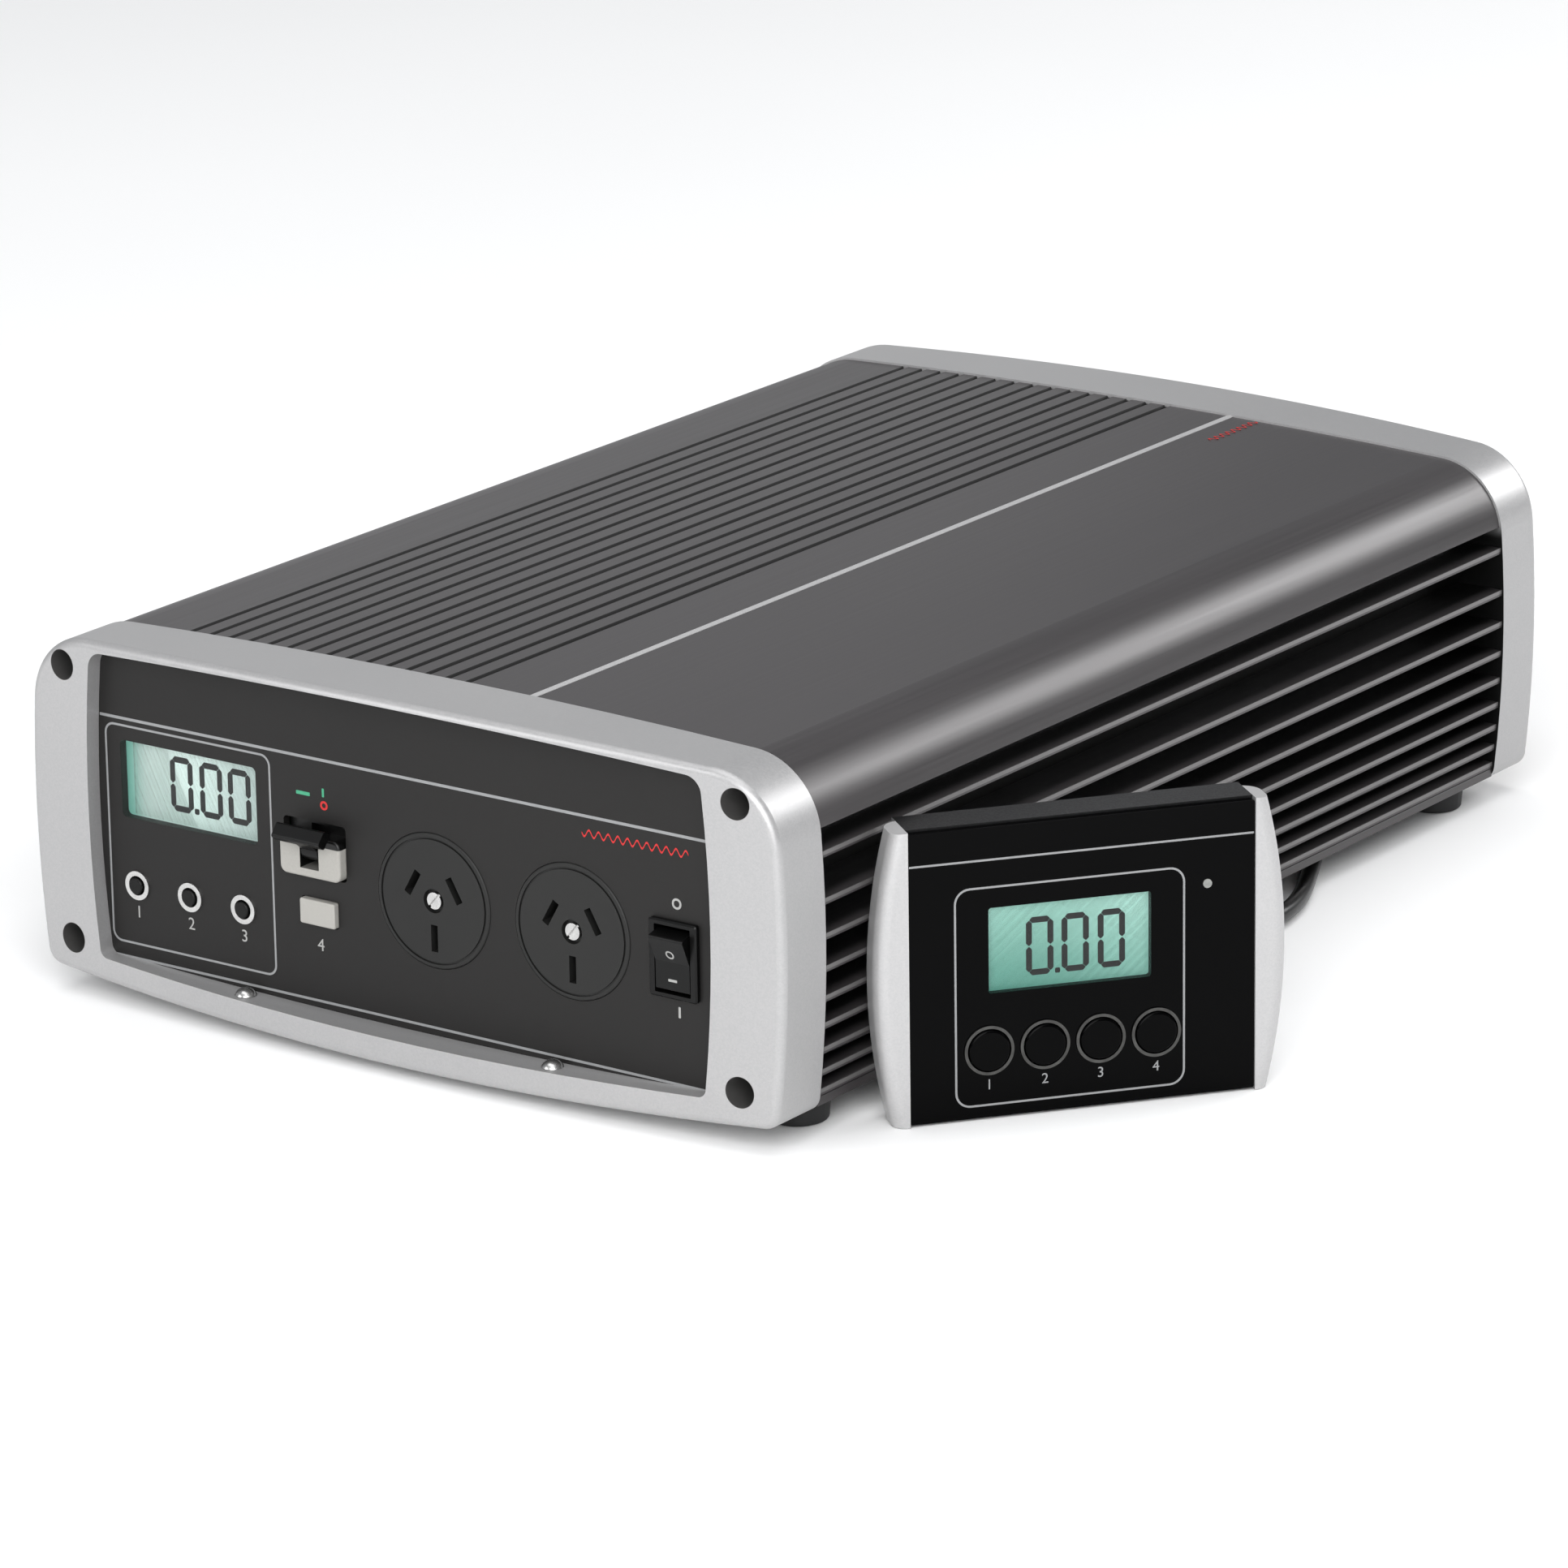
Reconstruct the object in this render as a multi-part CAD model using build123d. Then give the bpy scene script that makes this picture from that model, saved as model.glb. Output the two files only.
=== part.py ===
from build123d import *
import math
import os

# Power inverter with a wired remote panel. Millimetres; +Z up, front toward -Y.
# Origin: centre of the four foot holes, on the plane that the feet stand on.

# ---- driving dimensions: case ------------------------------------------------
CASE_W = 250.0            # widest, across the bezels
LENGTH = 373.0            # between the bezels' outer corners, front to back
BOW = 6.2                 # how far each bezel face bulges in the middle
BEZEL_D = 19.0            # bezel depth at its corners
MID_Z = 55.0              # height of the bezel screw pattern's centre
TOP_MID, TOP_END = 104.0, 101.1
BOT_MID, BOT_END = 2.9, 7.4
SIDE_DROP = 3.0           # how much narrower the bezel is at top and bottom
BEZEL_R_TOP, BEZEL_R_BOT = 21.0, 5.0
BEZEL_EDGE_R = 2.2
OPEN_W, OPEN_W_MID = 202.4, 207.4
OPEN_TOP_END, OPEN_TOP_MID = 99.0, 102.0
OPEN_BOT_END, OPEN_BOT_MID = 13.1, 10.7
OPEN_R = 5.0
PANEL_RECESS = 3.1        # panel face behind the bezel's corner face
PANEL_T = 2.5
PANEL_LAP = 3.0           # how far the panel reaches behind the bezel's lip
SCREW_X, SCREW_DZ = 111.6, 38.6
BEZEL_BORE_R, BEZEL_BORE_FLOOR = 4.2, 6.0
SCREW_R, SCREW_HEAD_R, SCREW_HEAD_H = 2.4, 3.9, 4.5
SCREW_REACH = 14.0        # thread length inside the case's screw ports

# ---- case extrusion ----------------------------------------------------------
SKIN = 0.6                # case surface below the bezel's surface
WALL = 3.2
CAVITY_HALF = 104.0
CAVITY_R = 12.0
LIP_Z = 83.7              # lower edge of the rounded shoulder
FIN_T = 1.7
FIN_FIRST_Z = 76.7
FIN_FIRST_GAP, FIN_NEXT_GAP, FIN_GAP_STEP = 12.4, 9.4, 0.65
FIN_COUNT = 9
ROOT = [(113.8, LIP_Z), (113.4, 77.0), (109.6, 64.0), (107.6, 55.0)]
PORT_BOSS_R = 5.0
GROOVE_FIRST_X, GROOVE_PITCH, GROOVE_COUNT = -83.9, 6.69, 15
GROOVE_W, GROOVE_D = 2.3, 1.3
TRIM_X, TRIM_W, TRIM_D = 31.5, 2.2, 0.8
RAIL_W, RAIL_H = 7.0, 6.0
BASE_BOTTOM, BASE_T = 8.6, 2.4
FOOT_X, FOOT_Y = 108.0, 157.5
FOOT_R, FOOT_HOLE_R = 9.0, 3.1
FOOT_BOLT_ROOM = 2.5      # pocket in the case over each tapped foot hole
BASE_SCREW_Y = [-150.0, -50.0, 50.0, 150.0]

# ---- front panel -------------------------------------------------------------
GAP = 0.3                 # around moving curved faces
SNUG = 0.1                # around fixed pieces
METER_X, METER_Z, METER_W, METER_H = -72.4, MID_Z + 8.5, 46.9, 21.6
BUTTON_X = [-91.4, -73.0, -54.6]
BUTTON_Z = MID_Z - 21.1
BUTTON_R, BUTTON_RING_R, BUTTON_RING_IN, BUTTON_RING_T = 2.3, 4.05, 2.75, 0.6
BUTTON_TRAVEL = 1.0
BREAKER_X, BREAKER_Z = -29.3, MID_Z
BREAKER_W, NOSE_LOW, NOSE_HIGH, NOSE_PROUD = 20.4, -7.1, 4.4, 2.6
SLOT_TOP = 7.7
TOGGLE_ANGLE = 40.0
TEST_X, TEST_Z, TEST_W, TEST_H = -28.2, MID_Z - 17.1, 11.8, 7.0
SOCKET_X = [10.5, 55.9]
SOCKET_Z, SOCKET_R, SOCKET_D = MID_Z - 6.8, 18.6, 19.0
PIN_SLOT_W, PIN_SLOT_T, PIN_DX, PIN_DZ, EARTH_DZ = 7.4, 2.2, 6.85, 3.97, 10.31
ROCKER_X, ROCKER_Z = 89.0, MID_Z - 8.1
ROCKER_W, ROCKER_H, ROCKER_TILT = 15.2, 21.0, 12.0
LEDGE_SCREW_X, LEDGE_SCREW_R = [-52.0, 51.0], 3.4

# ---- rear panel --------------------------------------------------------------
FAN_X = [-66.0, -2.0]
FAN_Z, FAN_SIZE, FAN_D, FAN_BORE_R, FAN_HOLE = 57.0, 60.0, 20.0, 28.3, 25.0
HUB_R, BLADE_R, BLADES = 14.0, 26.6, 7
TERMINAL_X = [56.0, 82.0]
TERMINAL_Z, STUD_R, STUD_NECK_R = 44.0, 4.0, 3.4
EARTH_X, EARTH_Z, EARTH_R, EARTH_SEAT_R = 92.0, 22.0, 3.0, 3.7
PORT_X, PORT_Z = 38.0, 60.6
PLUG_W, PLUG_H = 11.6, 7.6

# ---- inside ------------------------------------------------------------------
BOARD_Z, BOARD_T, BOARD_HALF_X, BOARD_HALF_Y = 22.0, 1.6, 92.0, 120.0

# ---- remote panel ------------------------------------------------------------
REMOTE_AT = (165.8, -111.3)
REMOTE_TURN = 51.85
FACE_W, FACE_H, FACE_T = 93.7, 79.0, 2.2
REMOTE_D = 13.8
CHEEK_OUT, CHEEK_END, CHEEK_D, CHEEK_R = 9.0, 4.0, 10.5, 3.6
R_METER_X, R_METER_Z, R_METER_W, R_METER_H = -3.4, 45.7, 43.9, 23.2
R_BUTTON_X = [-25.4, -10.3, 4.8, 19.9]
R_BUTTON_Z, R_BUTTON_R, R_BUTTON_TRAVEL = 18.8, 5.6, 0.8
R_LAMP_X, R_LAMP_Z = 33.9, 57.8
R_PORT_X, R_PORT_Z = 34.0, 32.0
R_BOARD_Y, R_BOARD_T = 7.5, 1.6

# ---- lead between the remote and the rear port --------------------------------
LEAD_R = 2.5
LEAD_POINTS = [
    (161.55, -64.7, 32.0),
    (144.3, -51.15, 31.0),
    (134.0, -16.0, 18.0),
    (131.0, 20.0, 5.0),
    (129.5, 50.0, 2.6),
    (113.0, 84.0, 2.6),
    (97.0, 114.0, 2.6),
    (94.0, 150.0, 2.6),
    (91.5, 204.0, 2.6),
    (53.5, 246.0, 2.6),
    (40.5, 257.0, 31.5),
    (38.0, 240.6, 60.6),
    (38.0, 208.0, 60.6),
]

FRONT = -LENGTH / 2
REAR = LENGTH / 2
CASE_END = REAR - BEZEL_D
PANEL_F = FRONT + PANEL_RECESS
PANEL_B = PANEL_F + PANEL_T
BASE_TOP = BASE_BOTTOM + BASE_T

os.makedirs("parts", exist_ok=True)


def save(name, shape):
    """Write one node, with its separate solids side by side."""
    solids = shape.solids() if hasattr(shape, "solids") else [s for p in shape for s in p.solids()]
    export_step(Compound(children=list(solids)), os.path.join("parts", name + ".step"))


def along_y(sketch, y0, y1):
    """Extrude an x-z sketch from y0 to y1."""
    plane = Plane((0, y0, 0), x_dir=(1, 0, 0), z_dir=(0, -1, 0))
    return extrude(plane * sketch, amount=y0 - y1)


def along_x(sketch, x0, x1):
    """Extrude a y-z sketch from x0 to x1."""
    plane = Plane((x0, 0, 0), x_dir=(0, 1, 0), z_dir=(1, 0, 0))
    return extrude(plane * sketch, amount=x1 - x0)


def disc_y(x, z, r, y0, y1):
    return along_y(Pos(x, z) * Circle(r), y0, y1)


def disc_z(x, y, r, z0, z1):
    return extrude(Pos(x, y, z0) * Circle(r), amount=z1 - z0)


def block(x0, x1, y0, y1, z0, z1):
    return Pos((x0 + x1) / 2, (y0 + y1) / 2, (z0 + z1) / 2) * Box(x1 - x0, y1 - y0, z1 - z0)


def plate_y(x, z, w, h, r, y0, y1):
    return along_y(Pos(x, z) * RectangleRounded(w, h, r), y0, y1)


def both_sides(part):
    """The part and its mirror image across the middle of the case."""
    return [part, part.mirror(Plane.YZ)]


def four_arcs(half_mid, half_end, top_mid, top_end, bot_mid, bot_end):
    """Closed x-z outline of four gentle arcs."""
    mid_z = (top_end + bot_end) / 2
    top = ThreePointArc((-half_end, top_end), (0, top_mid), (half_end, top_end))
    right = ThreePointArc((half_end, top_end), (half_mid, mid_z), (half_end, bot_end))
    low = ThreePointArc((half_end, bot_end), (0, bot_mid), (-half_end, bot_end))
    left = ThreePointArc((-half_end, bot_end), (-half_mid, mid_z), (-half_end, top_end))
    return make_face([top, right, low, left])


def round_corners(face, r_top, r_bot):
    """Round a sketch's upper corners, then its lower ones."""
    face = fillet(face.vertices().sort_by(Axis.Y)[-2:], r_top)
    return fillet(face.vertices().sort_by(Axis.Y)[:2], r_bot)


def side_x(z):
    """Half width of the bezel's outline at a height."""
    return CASE_W / 2 - SIDE_DROP * ((z - MID_Z) / (TOP_END - MID_Z)) ** 2


def crown_z(x):
    """Height of the case's top surface at x."""
    half = CASE_W / 2 - SIDE_DROP
    return TOP_MID - SKIN - (TOP_MID - TOP_END) * (x / half) ** 2


def bezel_outline(inset=0.0):
    face = four_arcs(CASE_W / 2 - inset, CASE_W / 2 - SIDE_DROP - inset, TOP_MID - inset,
                     TOP_END - inset, BOT_MID + inset, BOT_END + inset)
    return round_corners(face, BEZEL_R_TOP - inset, BEZEL_R_BOT)


def opening_outline(grow=0.0):
    face = four_arcs(OPEN_W_MID / 2 + grow, OPEN_W / 2 + grow, OPEN_TOP_MID + grow * 0.3,
                     OPEN_TOP_END + grow * 0.3, OPEN_BOT_MID - grow * 0.8, OPEN_BOT_END - grow * 0.8)
    return round_corners(face, OPEN_R, OPEN_R / 2)


def screw_places():
    return [(sx * SCREW_X, MID_Z + sz * SCREW_DZ) for sx in (-1, 1) for sz in (-1, 1)]


# ---- shell -------------------------------------------------------------------
def make_front_bezel():
    """Ring frame with a bulging face, a rebate for the panel and four screw bores."""
    half = CASE_W / 2 - SIDE_DROP
    body = along_y(bezel_outline(), FRONT - BOW - 2, FRONT + BEZEL_D)
    arc = ThreePointArc((-half - 5, FRONT + 0.5), (0, FRONT - BOW), (half + 5, FRONT + 0.5))
    back = Polyline((half + 5, FRONT + 0.5), (half + 5, FRONT + BEZEL_D + 5),
                    (-half - 5, FRONT + BEZEL_D + 5), (-half - 5, FRONT + 0.5))
    plan = make_face([arc, back.edges()[0], back.edges()[1], back.edges()[2]])
    body = body & extrude(plan, amount=TOP_MID + 5)
    face_edges = body.faces().sort_by(Axis.Y)[0].edges()
    body = fillet(face_edges, BEZEL_EDGE_R)
    body -= along_y(opening_outline(), FRONT - BOW - 5, FRONT + BEZEL_D + 1)
    body -= along_y(opening_outline(PANEL_LAP), PANEL_F, FRONT + BEZEL_D + 1)
    for x, z in screw_places():
        body -= disc_y(x, z, BEZEL_BORE_R, FRONT - BOW - 5, FRONT + BEZEL_D - BEZEL_BORE_FLOOR)
        body -= disc_y(x, z, SCREW_R + SNUG, FRONT - BOW - 5, FRONT + BEZEL_D + 1)
    return body


def make_case():
    """Inverted-U extrusion: crowned top, rounded shoulders, side fins and screw ports."""
    outer = bezel_outline(SKIN)
    low = Pos(0, (LIP_Z + BASE_TOP) / 2 - 20) * Rectangle(CASE_W + 20, LIP_Z - BASE_TOP + 40)
    shoulder = outer - low
    root = [(x, z) for x, z in ROOT] + [(ROOT[-1][0], BASE_TOP)]
    wall = make_face(Polyline(*root, *[(-x, z) for x, z in reversed(root)], close=True))
    profile = shoulder + wall
    z, gap = FIN_FIRST_Z, FIN_FIRST_GAP
    for row in range(FIN_COUNT):
        profile += Pos(0, z) * Rectangle(2 * (side_x(z) - SKIN), FIN_T)
        z -= gap
        gap = FIN_NEXT_GAP - FIN_GAP_STEP * row
    for x, zz in screw_places():
        if zz < MID_Z:
            profile += Pos(x, zz) * Circle(PORT_BOSS_R)
    roof = crown_z(0) - WALL
    cavity = Pos(0, (roof + BASE_TOP - 30) / 2) * Rectangle(2 * CAVITY_HALF, roof - BASE_TOP + 30)
    cavity = fillet(cavity.vertices().sort_by(Axis.Y)[-2:], CAVITY_R)
    profile -= cavity
    for side in (-1, 1):
        mid = side * (CAVITY_HALF - RAIL_W / 2)
        profile += Pos(mid, BASE_TOP + RAIL_H / 2) * Rectangle(RAIL_W, RAIL_H)
    for x, zz in screw_places():
        profile -= Pos(x, zz) * Circle(SCREW_R)
    for i in range(GROOVE_COUNT):
        x = GROOVE_FIRST_X + i * GROOVE_PITCH
        top = crown_z(x)
        vee = Polyline((x - GROOVE_W / 2, top + 0.5), (x - GROOVE_W / 4, top - GROOVE_D),
                       (x + GROOVE_W / 4, top - GROOVE_D), (x + GROOVE_W / 2, top + 0.5), close=True)
        profile -= make_face(vee)
    trim_top = crown_z(TRIM_X)
    profile -= Pos(TRIM_X, trim_top) * Rectangle(TRIM_W, 2 * TRIM_D)
    case = along_y(profile, -CASE_END, CASE_END)
    for side in (-1, 1):
        for y in BASE_SCREW_Y:
            case -= disc_z(side * (CAVITY_HALF - RAIL_W / 2), y, 1.4, BASE_TOP - 1, BASE_TOP + RAIL_H + 1)
        for y in (-FOOT_Y, FOOT_Y):
            case -= disc_z(side * FOOT_X, y, FOOT_HOLE_R + 0.2, BASE_TOP - 1, BASE_TOP + FOOT_BOLT_ROOM)
    return case


def make_trim_strip():
    top = crown_z(TRIM_X)
    return block(TRIM_X - TRIM_W / 2, TRIM_X + TRIM_W / 2, -CASE_END, CASE_END, top - TRIM_D, top + 0.1)


def make_base_plate():
    half = side_x(BASE_TOP) - SKIN
    plate = block(-half, half, -CASE_END, CASE_END, BASE_BOTTOM, BASE_TOP)
    for sx in (-1, 1):
        for sy in (-1, 1):
            plate -= disc_z(sx * FOOT_X, sy * FOOT_Y, FOOT_HOLE_R, BASE_BOTTOM - 1, BASE_TOP + 1)
        for y in BASE_SCREW_Y:
            x = sx * (CAVITY_HALF - RAIL_W / 2)
            plate -= disc_z(x, y, 1.6, BASE_BOTTOM - 1, BASE_TOP + 1)
            plate -= Pos(x, y, BASE_BOTTOM + 0.75) * Cone(3.1, 1.6, 1.5)
    for row in (-1, 1):
        for i in range(9):
            slot = RectangleRounded(4, 34, 1.9)
            plate -= extrude(Pos(-40 + 10 * i, -70 * row, BASE_BOTTOM - 1) * slot, amount=BASE_T + 2)
    return plate


def make_base_screws():
    screws = []
    for sx in (-1, 1):
        for y in BASE_SCREW_Y:
            x = sx * (CAVITY_HALF - RAIL_W / 2)
            screw = disc_z(x, y, 1.4, BASE_BOTTOM, BASE_TOP + RAIL_H)
            screw += Pos(x, y, BASE_BOTTOM + 0.7) * Cone(2.9, 1.4, 1.4)
            screw -= block(x - 2.4, x + 2.4, y - 0.35, y + 0.35, BASE_BOTTOM - 1, BASE_BOTTOM + 0.5)
            screws.append(screw)
    return screws


def make_feet():
    feet = []
    for sx in (-1, 1):
        for sy in (-1, 1):
            foot = Pos(0, 0, BASE_BOTTOM / 2) * Cone(FOOT_R - 0.8, FOOT_R, BASE_BOTTOM)
            foot = fillet(foot.edges().sort_by(Axis.Z)[0], 1.0)
            foot = Pos(sx * FOOT_X, sy * FOOT_Y, 0) * foot
            feet.append(foot - disc_z(sx * FOOT_X, sy * FOOT_Y, FOOT_HOLE_R, -1, BASE_BOTTOM + 1))
    return feet


def make_bezel_screws():
    """Socket-head screws through both bezels into the case's ports."""
    screws = []
    for x, z in screw_places():
        seat = FRONT + BEZEL_D - BEZEL_BORE_FLOOR
        screw = disc_y(x, z, SCREW_HEAD_R, seat - SCREW_HEAD_H, seat)
        screw += disc_y(x, z, SCREW_R, seat, FRONT + BEZEL_D + SCREW_REACH)
        screw -= along_y(Pos(x, z) * RegularPolygon(2.3, 6), seat - SCREW_HEAD_H - 1, seat - 1.8)
        screws += [screw, screw.mirror(Plane.XZ)]
    return screws


# ---- front controls ----------------------------------------------------------
def slot_outline(dx, dz, angle, grow=0.0):
    return Pos(dx, dz) * Rot(0, 0, angle) * Rectangle(PIN_SLOT_T + grow, PIN_SLOT_W + grow)


def pin_places():
    """Contact slots of one outlet: offset and slant of live, neutral and earth."""
    return [(-PIN_DX, PIN_DZ, -30), (PIN_DX, PIN_DZ, 30), (0, -EARTH_DZ, 0)]


def make_front_panel():
    panel = along_y(opening_outline(PANEL_LAP - SNUG), PANEL_F, PANEL_B)
    y0, y1 = PANEL_F - 1, PANEL_B + 1
    panel -= plate_y(METER_X, METER_Z, METER_W, METER_H, 1.5, y0, y1)
    for x in BUTTON_X:
        panel -= disc_y(x, BUTTON_Z, BUTTON_R + GAP, y0, y1)
    nose_mid = (NOSE_LOW + SLOT_TOP) / 2
    panel -= plate_y(BREAKER_X, BREAKER_Z + nose_mid, BREAKER_W + 2 * GAP,
                     SLOT_TOP - NOSE_LOW + 2 * GAP, 1.2, y0, y1)
    panel -= plate_y(TEST_X, TEST_Z, TEST_W + 2 * GAP, TEST_H + 2 * GAP, 0.8, y0, y1)
    for x in SOCKET_X:
        panel -= disc_y(x, SOCKET_Z, SOCKET_R + SNUG, y0, y1)
    panel -= plate_y(ROCKER_X, ROCKER_Z, ROCKER_W - 1.8 + 2 * SNUG, ROCKER_H - 1.6 + 2 * SNUG, 0.5, y0, y1)
    return panel


def make_ledge_screws():
    """Domed screws standing on the lower lip in front of the panel."""
    screws = []
    for x in LEDGE_SCREW_X:
        ledge = OPEN_BOT_MID + (OPEN_BOT_END - OPEN_BOT_MID) * (x / (OPEN_W / 2)) ** 2
        y = PANEL_F - 3.6
        dome = Pos(x, y, ledge - 1.4) * Sphere(LEDGE_SCREW_R)
        head = dome & block(x - 4, x + 4, y - 4, y + 4, ledge + 0.15, ledge + 3)
        screws.append(head)
    return screws


def make_meter_window():
    window = plate_y(METER_X, METER_Z, METER_W - 2 * SNUG, METER_H - 2 * SNUG, 1.4, PANEL_F + 0.2, PANEL_B)
    return window + plate_y(METER_X, METER_Z, METER_W + 5, METER_H + 4, 1.4, PANEL_B, PANEL_B + 1.0)


def make_meter_display():
    return plate_y(METER_X, METER_Z, METER_W + 3, METER_H + 3, 0.5, PANEL_B + 1.0, PANEL_B + 4.5)


def make_meter_board():
    board = block(-100, -44, PANEL_B + 4.5, PANEL_B + 6.1, BUTTON_Z - 8, METER_Z + 15)
    for x in BUTTON_X:
        board += block(x - 3, x + 3, PANEL_B + 6.1, PANEL_B + 9, BUTTON_Z - 3, BUTTON_Z + 3)
    return board


def make_button(x):
    button = disc_y(x, BUTTON_Z, BUTTON_R, PANEL_F - 1.4, PANEL_B + 4.2 - BUTTON_TRAVEL)
    button = fillet(button.faces().sort_by(Axis.Y)[0].edges(), 0.5)
    return button + disc_y(x, BUTTON_Z, BUTTON_R + 1.2, PANEL_B + GAP, PANEL_B + GAP + 0.9)


def make_button_rings():
    ring = Circle(BUTTON_RING_R) - Circle(BUTTON_RING_IN)
    return [along_y(Pos(x, BUTTON_Z) * ring, PANEL_F - BUTTON_RING_T, PANEL_F) for x in BUTTON_X]


TOGGLE_Y = PANEL_F + 0.4     # the toggle's pivot line
TOGGLE_Z = BREAKER_Z + 0.2


def make_breaker_body():
    """Breaker block behind the panel with a slotted nose through it."""
    half = BREAKER_W / 2
    body = block(BREAKER_X - half, BREAKER_X + half, PANEL_B + 0.2, PANEL_B + 42,
                 BREAKER_Z - 28, BREAKER_Z + 30)
    nose = plate_y(BREAKER_X, BREAKER_Z + (NOSE_LOW + NOSE_HIGH) / 2, BREAKER_W, NOSE_HIGH - NOSE_LOW,
                   2.2, PANEL_F - NOSE_PROUD, PANEL_B + 0.2)
    nose = fillet(nose.faces().sort_by(Axis.Y)[0].edges(), 0.8)
    body += nose
    body -= block(BREAKER_X - 3.1, BREAKER_X + 3.1, PANEL_F - 10, PANEL_B + 2.6,
                  BREAKER_Z - 4.6, BREAKER_Z + 6.4)
    body -= along_x(Pos(TOGGLE_Y, TOGGLE_Z) * Circle(1.25), BREAKER_X - 5.2, BREAKER_X + 5.2)
    body -= block(TEST_X - TEST_W / 2 - GAP - 1, TEST_X + TEST_W / 2 + GAP, PANEL_B - 1, PANEL_B + 4.4,
                  TEST_Z - TEST_H / 2 - 1.2, TEST_Z + TEST_H / 2 + 1.2)
    return body


def make_toggle():
    """Lever with a cross bar, shown at its upper stop."""
    hub = along_x(Circle(3.0), BREAKER_X - 2.7, BREAKER_X + 2.7)
    stem = block(BREAKER_X - 2.7, BREAKER_X + 2.7, -7.2, 0, -1.5, 1.5)
    bar = block(BREAKER_X - 8, BREAKER_X + 8, -9.8, -6.8, -2.2, 2.2)
    bar = fillet(bar.edges().filter_by(Axis.X), 0.7)
    pin = along_x(Circle(1.2), BREAKER_X - 5.0, BREAKER_X + 5.0)
    lever = hub + stem + bar + pin
    return Pos(0, TOGGLE_Y, TOGGLE_Z) * Rot(-TOGGLE_ANGLE, 0, 0) * lever


def make_test_button():
    cap = plate_y(TEST_X, TEST_Z, TEST_W, TEST_H, 0.6, PANEL_F - 1.5, PANEL_B + 2.6)
    cap = fillet(cap.faces().sort_by(Axis.Y)[0].edges(), 0.4)
    return cap + plate_y(TEST_X, TEST_Z, TEST_W + 0.4, TEST_H + 1.8, 0.2, PANEL_B + GAP, PANEL_B + GAP + 1.2)


def make_socket(x):
    """Round three-slot outlet insert with a flange behind the panel."""
    front = PANEL_F - 0.4
    body = disc_y(x, SOCKET_Z, SOCKET_R, front, front + SOCKET_D)
    body = fillet(body.faces().sort_by(Axis.Y)[0].edges(), 0.6)
    body += disc_y(x, SOCKET_Z, SOCKET_R + 2.6, PANEL_B, PANEL_B + 2)
    body -= along_y(Pos(x, SOCKET_Z) * (Circle(SOCKET_R - 1.2) - Circle(SOCKET_R - 1.8)), front - 1, front + 0.5)
    body -= disc_y(x, SOCKET_Z, 3.3, front - 1, front + 1.6)
    body -= disc_y(x, SOCKET_Z, 1.5, front - 1, front + 12)
    for dx, dz, angle in pin_places():
        body -= along_y(Pos(x, SOCKET_Z) * slot_outline(dx, dz, angle), front - 1, front + 13)
        body -= along_y(Pos(x, SOCKET_Z) * slot_outline(dx, dz, angle, 1.6), front + 13, front + SOCKET_D + 1)
    return body


def make_socket_screws():
    screws = []
    for x in SOCKET_X:
        front = PANEL_F - 0.4
        screw = disc_y(x, SOCKET_Z, 2.3, front + 0.2, front + 1.6)
        screw += disc_y(x, SOCKET_Z, 1.5, front + 1.6, front + 12)
        screw -= Pos(x, front + 0.4, SOCKET_Z) * Rot(0, 40, 0) * Box(0.7, 0.8, 6)
        screws.append(screw)
    return screws


def make_socket_contacts():
    """Spring contacts in the pockets behind the slots, with rear tabs."""
    contacts = []
    for x in SOCKET_X:
        back = PANEL_F - 0.4 + SOCKET_D
        for dx, dz, angle in pin_places():
            outline = slot_outline(dx, dz, angle, 1.6) - slot_outline(dx, dz, angle)
            clip = along_y(Pos(x, SOCKET_Z) * outline, back - 6, back - 1)
            tab = Pos(dx, dz) * Rot(0, 0, angle) * Pos(PIN_SLOT_T / 2 + 0.4, 0) * Rectangle(0.8, PIN_SLOT_W)
            contacts.append(clip + along_y(Pos(x, SOCKET_Z) * tab, back - 1, back + 8))
    return contacts


ROCKER_Y = PANEL_F + 1.0     # the rocker's pivot line


def make_rocker_frame():
    inner_w, inner_h = ROCKER_W - 3.8, ROCKER_H - 2.6
    frame = plate_y(ROCKER_X, ROCKER_Z, ROCKER_W, ROCKER_H, 0.8, PANEL_F - 1.6, PANEL_F)
    frame = chamfer(frame.faces().sort_by(Axis.Y)[0].edges(), 0.4)
    frame += plate_y(ROCKER_X, ROCKER_Z, ROCKER_W - 1.8, ROCKER_H - 1.6, 0.4, PANEL_F, PANEL_F + 16)
    frame -= plate_y(ROCKER_X, ROCKER_Z, inner_w, inner_h, 0.3, PANEL_F - 5, PANEL_F + 12)
    frame -= along_x(Pos(ROCKER_Y, ROCKER_Z) * Circle(1.3), ROCKER_X - inner_w / 2 - 0.7,
                     ROCKER_X + inner_w / 2 + 0.7)
    for dz in (-6, 0, 6):
        frame += block(ROCKER_X - 2.4, ROCKER_X + 2.4, PANEL_F + 16, PANEL_F + 24,
                       ROCKER_Z + dz - 0.4, ROCKER_Z + dz + 0.4)
    return frame


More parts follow.
